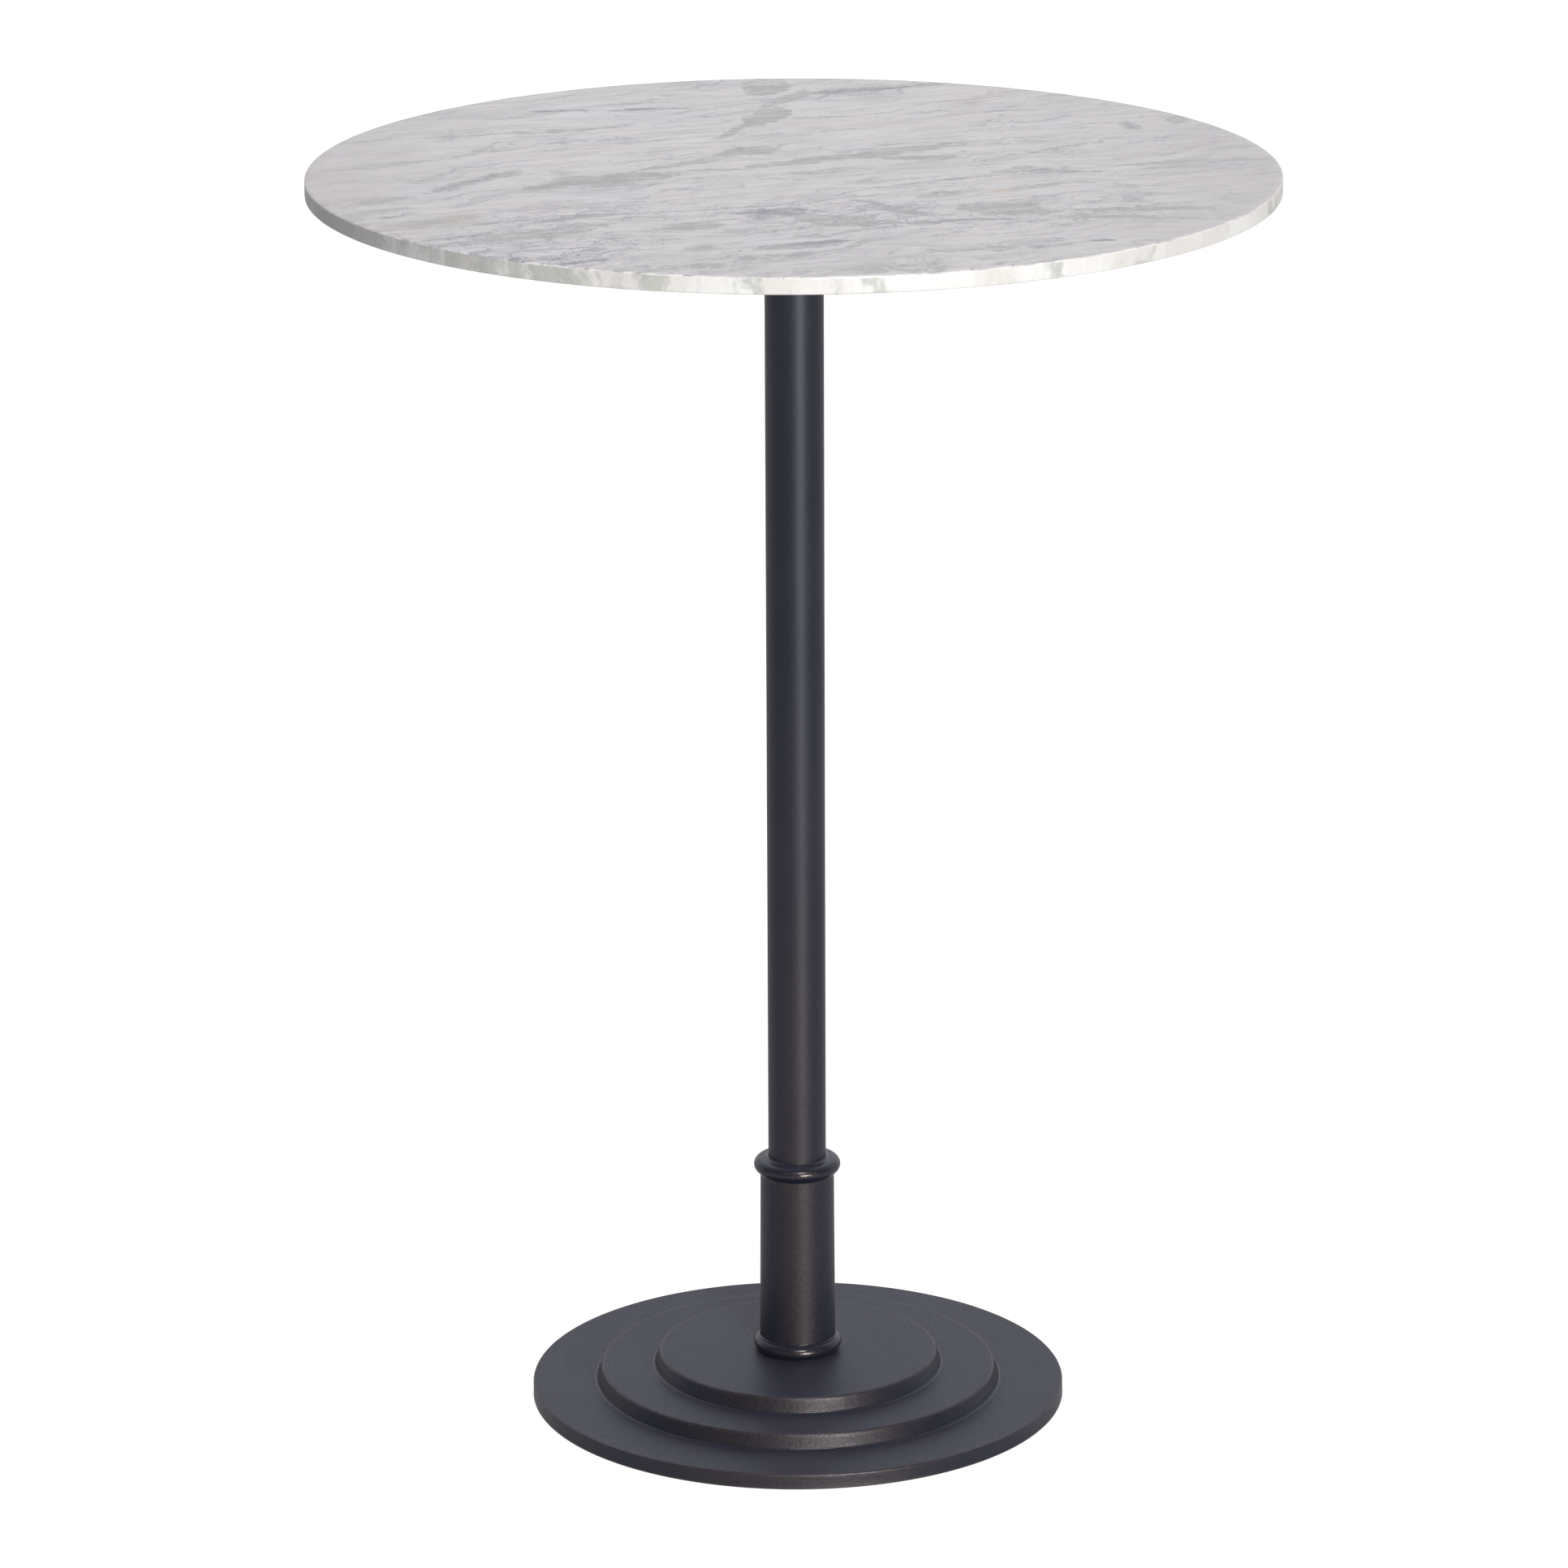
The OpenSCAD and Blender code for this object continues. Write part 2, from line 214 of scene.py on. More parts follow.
class Graph:
    """A material's node tree, with a short call for each node this script needs."""

    def __init__(self, name):
        self.material = bpy.data.materials.new(name)
        self.material.use_nodes = True
        self.tree = self.material.node_tree
        self.tree.nodes.clear()
        self.position = self.node("ShaderNodeTexCoord").outputs["Object"]

    def node(self, kind, inputs=None, **settings):
        made = self.tree.nodes.new(kind)
        for key, value in settings.items():
            setattr(made, key, value)
        for key, value in (inputs or {}).items():
            self.put(made.inputs[key], value)
        return made

    def put(self, socket, value):
        if isinstance(value, bpy.types.NodeSocket):
            self.tree.links.new(value, socket)
        elif socket.type == "RGBA" and len(value) == 3:
            socket.default_value = (*value, 1.0)
        else:
            socket.default_value = value

    def math(self, operation, a, b=0.0, c=0.0, clamp=False):
        made = self.node("ShaderNodeMath", {0: a, 1: b, 2: c}, operation=operation, use_clamp=clamp)
        return made.outputs[0]

    def vector(self, operation, a, b=(0, 0, 0)):
        made = self.node("ShaderNodeVectorMath", {0: a, 1: b}, operation=operation)
        return made.outputs["Value" if operation in ("LENGTH", "DISTANCE") else "Vector"]

    def mapping(self, vector, location=(0, 0, 0), turn=0.0, scale=(1, 1, 1), kind="POINT"):
        inputs = {"Vector": vector, "Rotation": (0, 0, math.radians(turn)), "Scale": scale}
        made = self.node("ShaderNodeMapping", inputs, vector_type=kind)
        made.inputs["Location"].default_value = location
        return made.outputs[0]

    def grain(self, vector, turn, stretch):
        """The vector turned and squeezed, so that noise on it is drawn out along that direction."""
        return self.mapping(vector, turn=turn, scale=(stretch, 1, 1), kind="TEXTURE")

    def noise(self, vector, size, detail=3.0, roughness=0.5, distortion=0.0, colour=False):
        """Noise with features of about this size, in metres."""
        inputs = {
            "Vector": vector, "Scale": 1 / size, "Detail": detail,
            "Roughness": roughness, "Distortion": distortion,
        }
        return self.node("ShaderNodeTexNoise", inputs).outputs["Color" if colour else "Fac"]

    def remap(self, value, low, high, to_low=0.0, to_high=1.0, smooth=True):
        inputs = {0: value, 1: low, 2: high, 3: to_low, 4: to_high}
        kind = "SMOOTHSTEP" if smooth else "LINEAR"
        return self.node("ShaderNodeMapRange", inputs, interpolation_type=kind).outputs[0]

    def mix(self, share, a, b):
        """Colour a, moving to colour b as share goes from 0 to 1."""
        made = self.node("ShaderNodeMix", data_type="RGBA")
        colours = [s for s in made.inputs if s.type == "RGBA"]
        self.put(made.inputs["Factor"], share)
        self.put(colours[0], a)
        self.put(colours[1], b)
        return [s for s in made.outputs if s.type == "RGBA"][0]

    def blend(self, share, a, b):
        """Number a, moving to number b as share goes from 0 to 1."""
        made = self.node("ShaderNodeMix", {"Factor": share}, data_type="FLOAT")
        numbers = [s for s in made.inputs if s.type == "VALUE" and s.name in "AB"]
        self.put(numbers[0], a)
        self.put(numbers[1], b)
        return made.outputs[0]

    def bump(self, height, distance, strength=1.0):
        inputs = {"Strength": strength, "Distance": distance, "Height": height}
        return self.node("ShaderNodeBump", inputs).outputs[0]

    def separate(self, vector):
        return self.node("ShaderNodeSeparateXYZ", {0: vector}).outputs

    def combine(self, x, y, z):
        return self.node("ShaderNodeCombineXYZ", {0: x, 1: y, 2: z}).outputs[0]

    def after(self, vector, value):
        """The same vector, but worked out after a value that is never below 0. Cycles can hold few
        values at once, and without this it works out every patch of a long table together."""
        return self.vector("ADD", vector, self.math("MINIMUM", value, 0.0))

    def around(self):
        """Position unrolled round the Z axis: metres round the girth, metres up, radius."""
        x, y, z = self.separate(self.position)[:3]
        flat = self.combine(x, y, 0.0)
        radius = self.vector("LENGTH", flat)
        angle = self.math("ARCTAN2", y, x)
        return self.combine(self.math("MULTIPLY", angle, radius), z, radius)

    def finish(self, **inputs):
        """Ends the tree in a Principled surface and returns the material."""
        shader = self.node("ShaderNodeBsdfPrincipled")
        for key, value in inputs.items():
            self.put(shader.inputs[key.replace("_", " ")], value)
        self.node("ShaderNodeOutputMaterial", {"Surface": shader.outputs[0]})
        return self.material


# ---------------------------------------------------------------- marble

# Colours of the stone, and the grey painted as shade at the slab's left and right ends.
LAVENDER_WHITE = (0.728, 0.700, 0.716)
GREEN_WHITE = (0.716, 0.706, 0.697)
BLUE_WHITE = (0.690, 0.696, 0.752)
BRIGHT_WHITE = (0.83, 0.81, 0.815)
SOFT_GREY = (0.525, 0.51, 0.525)
GREY_GREEN = (0.390, 0.398, 0.388)
INDIGO_GREY = (0.262, 0.262, 0.32)
RUST = (0.68, 0.50, 0.37)
PAINTED_SHADE_GREY = (0.56, 0.535, 0.545)

# The way the streaks run, in degrees.
STREAK_TURN = 26

# Patches in the slab's face: x, y, length and width in millimetres, turn in degrees, strength.
GREY_PATCHES = [
    (-28, 363, 46, 74, 0, 1.0), (60, 348, 150, 15, 18, 1.0), (-8, 305, 90, 22, 65, 0.9),
    (-26, 228, 92, 34, 68, 1.0), (-52, 165, 80, 10, 70, 0.85), (-42, 78, 66, 34, 42, 1.0),
    (-88, 32, 110, 16, 38, 1.0), (40, 56, 200, 22, 26, 1.0), (103, 55, 80, 20, 0, 1.0),
    (96, 96, 110, 12, 22, 0.85), (-152, -30, 110, 42, 16, 1.0), (-198, -62, 60, 26, 50, 0.8),
    (-262, -40, 122, 20, 50, 1.0), (198, 121, 34, 12, 5, 0.95), (282, 181, 15, 36, 10, 1.0),
    (324, 208, 22, 34, -20, 0.9), (194, -4, 70, 15, -3, 1.0), (330, 36, 150, 14, 12, 0.95),
    (340, 20, 120, 7, 12, 0.8), (170, -150, 84, 44, -12, 1.0), (280, -150, 140, 16, 4, 1.0),
    (266, -181, 140, 13, -3, 0.95), (89, -161, 48, 14, -30, 0.9), (32, -192, 96, 34, -36, 1.0),
    (-81, -214, 56, 28, 15, 0.95), (2, -286, 82, 20, 16, 1.0), (-350, 22, 100, 15, 28, 0.9),
    (-168, -180, 70, 14, 28, 0.85), (-210, -250, 150, 36, 30, 0.8), (120, -196, 130, 12, 10, 0.85),
    (-60, 8, 60, 12, 10, 0.75), (62, -126, 46, 12, -42, 0.8), (-330, -150, 70, 12, 30, 0.8),
    (246, -269, 24, 9, 5, 1.0), (-262, 150, 50, 8, 20, 0.7), (120, 250, 60, 8, 25, 0.6),
    (-290, -200, 120, 34, 30, 0.75), (-330, -110, 60, 22, 40, 0.7),
]
INK_PATCHES = [
    (-206, 254, 46, 8, 8, 1.0), (-170, 257, 50, 6, -4, 0.9), (-122, 264, 66, 8, 6, 1.2),
    (62, 346, 110, 8, 18, 0.9), (-22, -160, 84, 32, 14, 0.95), (20, -273, 62, 10, 12, 1.1),
    (-200, -326, 70, 14, 24, 0.7), (-150, -300, 60, 10, 26, 0.7), (-170, -345, 60, 10, 20, 0.7),
    (-268, -46, 104, 11, 50, 0.8), (282, 181, 9, 24, 10, 0.9), (246, -269, 20, 6, 5, 1.1),
    (206, -2, 50, 6, -3, 0.8), (-300, -270, 100, 12, -48, 0.8),
    (-262, -255, 90, 12, 28, 0.8), (-315, -170, 60, 8, 34, 0.75),
]
RUST_PATCHES = [
    (-380, -18, 46, 70, 10, 1.1), (-392, 70, 20, 70, 0, 0.8), (-362, -92, 60, 60, 10, 0.7),
    (-266, -178, 34, 40, 20, 0.9), (-325, -205, 60, 30, -10, 0.6), (169, -78, 20, 16, 0, 1.3),
    (153, 315, 60, 50, 0, 0.35), (-300, -215, 40, 26, 0, 0.5),
]
PALE_BLUE_PATCHES = [
    (-135, 238, 130, 60, 0, 1.0), (97, -130, 60, 34, 20, 1.0), (-160, -80, 90, 46, 20, 0.9),
    (-290, -70, 120, 60, 40, 0.7), (-240, -290, 130, 60, 20, 0.9), (0, -262, 110, 30, 10, 0.7),
]
NET_PATCHES = [
    (70, -175, 330, 120, -8, 0.85), (-190, -190, 240, 120, 24, 0.7), (-210, -310, 220, 130, 20, 1.0),
    (250, -165, 220, 70, 0, 0.6), (-150, -40, 130, 60, 16, 0.5),
]

# Fine dark veins: points in millimetres from left to right, width in millimetres, strength.
VEINS = [
    ([(-266, -222), (-242, -202), (-177, -173), (-121, -161), (-56, -145), (-8, -129), (24, -105),
      (73, -65), (129, -36), (202, -12), (262, -2)], 2.6, 1.0),
    ([(170, -70), (202, -57), (282, -37), (323, -8), (362, 12)], 1.8, 0.8),
    ([(-205, 4), (-180, 24), (-161, 33), (-137, 57)], 2.0, 0.8),
    ([(60, 104), (97, 129), (130, 138), (155, 163)], 1.8, 0.8),
    ([(200, 118), (242, 130), (266, 131), (292, 142)], 1.6, 0.7),
    ([(24, -128), (50, -128), (65, -112), (97, -90), (162, -82)], 1.6, 0.9),
    ([(-330, -200), (-305, -250), (-282, -284), (-210, -339)], 2.6, 0.9),
    ([(-242, -312), (-200, -300), (-170, -296), (-137, -270), (-118, -266)], 2.4, 1.0),
    ([(-262, -336), (-215, -326), (-180, -330), (-140, -300)], 1.8, 0.9),
    ([(-375, 10), (-340, 18), (-312, 40), (-285, 62)], 1.8, 0.7),
    ([(-8, -150), (30, -178), (70, -214), (110, -206), (150, -188), (210, -190)], 1.8, 0.8),
    ([(-330, 92), (-270, 100), (-200, 92), (-130, 120), (-90, 150)], 1.2, 0.45),
    ([(40, 20), (110, 60), (180, 84), (260, 90), (360, 118)], 1.2, 0.45),
    ([(-90, -330), (-20, -322), (60, -330), (150, -300)], 1.4, 0.5),
]


def patches(graph, vector, table):
    """The strongest of a set of soft-edged oval patches at each place."""
    total = None
    for x, y, length, width, turn, strength in table:
        scale = (length * MM / 2, width * MM / 2, 1)
        local = graph.mapping(vector, (x * MM, y * MM, 0), turn, scale, "TEXTURE")
        patch = graph.remap(graph.vector("LENGTH", local), 1.5, 0.4, 0.0, strength)
        total = patch if total is None else graph.math("MAXIMUM", total, patch)
        vector = graph.after(vector, total)
    return total


def veins(graph, vector, table):
    """The strongest of a set of veins. Each follows a curve that gives y at every x."""
    total = None
    for points, width, strength in table:
        x, y = graph.separate(vector)[:2]
        xs, ys = zip(*points)
        low, high = min(ys), max(ys)
        path = graph.node("ShaderNodeFloatCurve")
        curve = path.mapping.curves[0]
        ends = list(curve.points)
        ends[0].location = (0, (ys[0] - low) / (high - low))
        ends[1].location = (1, (ys[-1] - low) / (high - low))
        for px, py in points[1:-1]:
            curve.points.new((px - xs[0]) / (xs[-1] - xs[0]), (py - low) / (high - low))
        path.mapping.update()
        graph.put(path.inputs["Value"], graph.remap(x, xs[0] * MM, xs[-1] * MM, smooth=False))
        height = graph.remap(path.outputs[0], 0, 1, low * MM, high * MM, smooth=False)
        off = graph.math("ABSOLUTE", graph.math("SUBTRACT", y, height))
        line = graph.remap(off, width * MM, 0.0, 0.0, strength)
        for end, inside in ((xs[0], xs[0] + 18), (xs[-1], xs[-1] - 18)):
            line = graph.math("MULTIPLY", line, graph.remap(x, end * MM, inside * MM))
        total = line if total is None else graph.math("MAXIMUM", total, line)
        vector = graph.after(vector, total)
    return total


def marble_colour(graph):
    """Colour of the stone at each place, with painted shade towards the left and right ends, and how grey
    it is from 0 to 1.
    """
    x, y = graph.separate(graph.position)[:2]
    flat = graph.combine(x, y, 0.0)
    sway = graph.vector("SUBTRACT", graph.noise(flat, 0.11, 3, 0.55, colour=True), (0.5, 0.5, 0.5))
    quiver = graph.vector("SUBTRACT", graph.noise(flat, 0.013, 4, 0.65, colour=True), (0.5, 0.5, 0.5))
    nudge = graph.vector("MULTIPLY", quiver, (0.015, 0.015, 0))
    gently = graph.vector("ADD", graph.vector("MULTIPLY", sway, (0.02, 0.02, 0)), nudge)
    widely = graph.vector("ADD", graph.vector("MULTIPLY", sway, (0.10, 0.10, 0)), nudge)
    placed = graph.vector("ADD", flat, gently)
    bent = graph.vector("ADD", flat, widely)
    grain = graph.grain(bent, STREAK_TURN, 5)

    streaks = graph.noise(grain, 0.017, 6, 0.64)
    broad = graph.noise(grain, 0.050, 4, 0.55)
    fibre = graph.noise(graph.grain(placed, STREAK_TURN - 6, 8), 0.0085, 5, 0.68)
    mottle = graph.noise(placed, 0.011, 6, 0.72)
    tone = graph.noise(graph.grain(flat, STREAK_TURN, 1.7), 0.10, 3, 0.5)
    busy = graph.remap(y, 0.16, -0.22)

    stone = graph.mix(graph.remap(tone, 0.42, 0.58), LAVENDER_WHITE, GREEN_WHITE)
    blue = graph.remap(patches(graph, placed, PALE_BLUE_PATCHES), 0.1, 0.9, 0, 0.8)
    stone = graph.mix(blue, stone, BLUE_WHITE)
    stone = graph.mix(graph.remap(broad, 0.50, 0.64, 0, 0.40), stone, SOFT_GREY)
    stone = graph.mix(graph.remap(streaks, 0.51, 0.60, 0, 0.52), stone, SOFT_GREY)
    stone = graph.mix(graph.remap(fibre, 0.50, 0.60, 0, 0.60), stone, SOFT_GREY)
    stone = graph.mix(graph.remap(fibre, 0.49, 0.38, 0, 0.45), stone, BRIGHT_WHITE)
    stone = graph.mix(graph.remap(streaks, 0.47, 0.36, 0, 0.35), stone, BRIGHT_WHITE)

    rough = graph.math("MULTIPLY_ADD", streaks, 1.7, -0.85)
    rough = graph.math("ADD", rough, graph.math("MULTIPLY_ADD", mottle, 2.0, -1.0))
    ragged = graph.math("ADD", patches(graph, placed, GREY_PATCHES), rough)
    clouds = graph.remap(ragged, 0.38, 0.62)
    inside = graph.remap(mottle, 0.36, 0.60, 0.7, 1.0)
    inside = graph.math("MULTIPLY", inside, graph.remap(fibre, 0.40, 0.54, 0.5, 1.0))
    loose = graph.math("MULTIPLY_ADD", busy, 0.035, graph.noise(grain, 0.034, 6, 0.66))
    loose = graph.remap(loose, 0.575, 0.625, 0, 0.75)
    loose = graph.math("MULTIPLY", loose, graph.remap(mottle, 0.43, 0.53))
    clouds = graph.math("MAXIMUM", graph.math("MULTIPLY", clouds, inside), loose)
    stone = graph.mix(clouds, stone, GREY_GREEN)
    rim = graph.remap(graph.math("ABSOLUTE", graph.math("SUBTRACT", ragged, 0.44)), 0.10, 0.0, 0, 0.30)
    stone = graph.mix(rim, stone, GREY_GREEN)

    ridge = graph.math("ABSOLUTE", graph.math("SUBTRACT", graph.noise(grain, 0.040, 5, 0.6), 0.5))
    shown = graph.remap(graph.math("MULTIPLY_ADD", busy, 0.05, broad), 0.48, 0.58, 0, 0.65)
    threads = graph.math("MULTIPLY", graph.remap(ridge, 0.020, 0.0), shown)
    net = graph.math("ABSOLUTE", graph.math("SUBTRACT", graph.noise(placed, 0.034, 4, 0.6), 0.5))
    net = graph.math("MULTIPLY", graph.remap(net, 0.020, 0.0), patches(graph, placed, NET_PATCHES))
    lines = graph.math("MULTIPLY", veins(graph, placed, VEINS), graph.remap(mottle, 0.34, 0.54, 0.4, 1))
    lines = graph.math("MAXIMUM", lines, net)
    ink = graph.math("ADD", patches(graph, placed, INK_PATCHES), rough)
    ink = graph.math("MULTIPLY", graph.remap(ink, 0.44, 0.80), graph.remap(fibre, 0.40, 0.54, 0.55, 1.0))
    dots = graph.remap(graph.noise(placed, 0.012, 3, 0.6), 0.65, 0.71, 0, 0.7)
    dark = graph.math("MAXIMUM", graph.math("MAXIMUM", threads, lines), graph.math("MAXIMUM", ink, dots))
    stone = graph.mix(dark, stone, INDIGO_GREY)

    rust = patches(graph, placed, RUST_PATCHES)
    rust = graph.math("MULTIPLY", rust, graph.remap(mottle, 0.36, 0.58, 0.3, 1))
    stone = graph.mix(graph.math("MULTIPLY", rust, 0.5, clamp=True), stone, RUST)
    # Painted shade: the stone is greyed towards the left and right ends of the slab.
    ends = graph.remap(graph.math("ABSOLUTE", x), 0.20, 0.40, 0, 0.55)
    stone = graph.mix(ends, stone, PAINTED_SHADE_GREY)
    return stone, graph.math("MAXIMUM", clouds, dark)


def polished_marble():
    graph = Graph("polished_marble")
    stone, grey = marble_colour(graph)
    pits = graph.remap(graph.noise(graph.position, 0.0016, 3, 0.6), 0.66, 0.78)
    smear = graph.noise(graph.position, 0.06, 3, 0.6)
    roughness = graph.remap(smear, 0.3, 0.7, 0.20, 0.30)
    roughness = graph.math("ADD", roughness, graph.math("MULTIPLY", grey, 0.05))
    height = graph.math("SUBTRACT", graph.noise(graph.position, 0.03, 2), pits)
    return graph.finish(
        Base_Color=stone, Roughness=roughness, IOR=1.49, Coat_Weight=0.15, Coat_Roughness=0.12,
        Subsurface_Weight=0.06, Subsurface_Radius=(0.9, 0.85, 0.8), Subsurface_Scale=0.004,
        Normal=graph.bump(height, 0.00005),
    )


def ground_marble():
    """The slab's edge: ground by hand, crystalline, with patches that run up and down."""
    graph = Graph("ground_marble")
    girth = graph.around()
    wander = graph.vector("SUBTRACT", graph.noise(girth, 0.02, 3, 0.6, colour=True), (0.5, 0.5, 0.5))
    bent = graph.vector("ADD", girth, graph.vector("MULTIPLY", wander, (0.03, 0.012, 0)))
    upright = graph.mapping(bent, scale=(1, 0.42, 0))
    pale, white = (0.585, 0.575, 0.56), (0.655, 0.655, 0.65)
    stone = graph.mix(graph.remap(graph.noise(upright, 0.06, 3), 0.40, 0.60), pale, white)
    x = graph.separate(graph.position)[0]
    # Towards the left the edge takes more grey blots and stripes: partly the stone's own pattern, partly
    # painted shade.
    left_stripes_and_shade = graph.remap(x, -0.05, -0.12)
    far_left_painted_shade = graph.remap(x, -0.16, -0.29)
    blots = graph.math("ADD", graph.noise(upright, 0.05, 5, 0.6), graph.math("MULTIPLY", left_stripes_and_shade, 0.11))
    stone = graph.mix(graph.remap(blots, 0.54, 0.62, 0, 0.75), stone, (0.375, 0.385, 0.36))
    striped = graph.noise(graph.mapping(bent, scale=(1, 0.12, 0)), 0.006, 4, 0.6)
    striped = graph.math("MULTIPLY", graph.remap(striped, 0.46, 0.66), graph.remap(left_stripes_and_shade, 0, 1, 0.12, 0.5))
    stone = graph.mix(striped, stone, (0.33, 0.33, 0.34))
    # Painted shade: further left the whole edge is greyed.
    stone = graph.mix(graph.math("MULTIPLY", far_left_painted_shade, 0.42), stone, (0.36, 0.355, 0.36))
    crystals = graph.noise(graph.position, 0.0018, 4, 0.7)
    stone = graph.mix(graph.remap(crystals, 0.55, 0.72, 0, 0.5), stone, (0.76, 0.76, 0.75))
    roughness = graph.remap(crystals, 0.3, 0.7, 0.34, 0.55)
    return graph.finish(
        Base_Color=stone, Roughness=roughness, IOR=1.49,
        Subsurface_Weight=0.08, Subsurface_Radius=(0.9, 0.85, 0.8), Subsurface_Scale=0.004,
        Normal=graph.bump(crystals, 0.0002, 0.7),
    )


def sawn_marble():
    """The slab's underside: sawn and left matt, with the saw's straight shallow marks."""
    graph = Graph("sawn_marble")
    stone, _ = marble_colour(graph)
    stone = graph.mix(0.25, stone, (0.55, 0.54, 0.52))
    saw = graph.noise(graph.mapping(graph.position, turn=35, scale=(0.02, 1, 1)), 0.002, 3, 0.6)
    dust = graph.noise(graph.position, 0.02, 4, 0.6)
    stone = graph.mix(graph.remap(dust, 0.5, 0.75, 0, 0.35), stone, (0.60, 0.59, 0.57))
    return graph.finish(
        Base_Color=stone, Roughness=graph.remap(dust, 0.3, 0.7, 0.62, 0.8), IOR=1.49,
        Normal=graph.bump(saw, 0.00012, 0.8),
    )


def build_slab():
    """The round slab. Its outline wanders a little, as a hand-cut one does, and its edge is uneven."""
    top_arris, low_arris = 1.6 * MM, 1.0 * MM
    low, high = slab_low.z, slab_high.z
    edge = (
        arc(SLAB_R - low_arris, low + low_arris, low_arris, -90, 0, 4)
        + arc(SLAB_R - top_arris, high - top_arris, top_arris, 0, 90, 6)
    )
    edge = densify(edge, 1.3 * MM)
    outline = [(30 * MM, low), (200 * MM, low), (385 * MM, low)] + edge
    outline += [(392 * MM, high), (340 * MM, high), (200 * MM, high), (30 * MM, high)]
    slab = lathe("marble_slab", outline, 1500, on_axis=True)

    def ground(co, normal):
        rim = min(1.0, max(0.0, (math.hypot(co.x, co.y) - (SLAB_R - 2.5 * MM)) / (1.5 * MM)))
        upright = 1 - abs(normal.z)
        if rim == 0 or upright < 0.02:
            return 0.0
        stretched = Vector((co.x, co.y, co.z * 0.4))
        chips = max(0.0, lumps(stretched, 7 * MM, 5.0, 3) - 0.5)
        return rim * (0.15 * MM * lumps(stretched, 18 * MM) + 0.7 * MM * chips * upright)

    relief(slab, ground)
    for v in slab.data.vertices:
        radius = math.hypot(v.co.x, v.co.y)
        if radius < 0.2:
            continue
        turn = math.atan2(v.co.y, v.co.x)
        wander = noise.noise(Vector((1.2 * math.cos(turn), 1.2 * math.sin(turn), 4.0)))
        factor = 1 - (0.35 * MM * (0.6 + wander)) * (radius / SLAB_R) / SLAB_R
        v.co.x *= factor
        v.co.y *= factor
    return slab


def finish_slab():
    slab = build_slab()
    insert_low, insert_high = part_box("top_inserts")
    insert_r, hole_r, hole_h = 4.75 * MM, 4.8 * MM, 12.5 * MM
    reach = (insert_high.x + insert_low.x) / 2 + insert_high.x - insert_r
    holes = []
    for sx in (-1, 1):
        for sy in (-1, 1):
            foot = Vector((sx * reach, sy * reach, slab_low.z - 2 * MM))
            holes.append(cylinder("hole", hole_r, foot, foot + Vector((0, 0, hole_h))))
    combine(slab, holes, "DIFFERENCE")
    for surface in (polished_marble(), ground_marble(), sawn_marble()):
        slab.data.materials.append(surface)
    for face in slab.data.polygons:
        centre_r = math.hypot(face.center.x, face.center.y)
        if face.normal.z > 0.9 or (face.normal.z > 0.35 and centre_r > SLAB_R - 3 * MM):
            face.material_index = 0
        elif face.normal.z < -0.9:
            face.material_index = 2
        else:
            face.material_index = 1
    smooth(slab)
    return stand_for(slab, "marble_top", TABLE)


# ---------------------------------------------------------------- blackened bronze

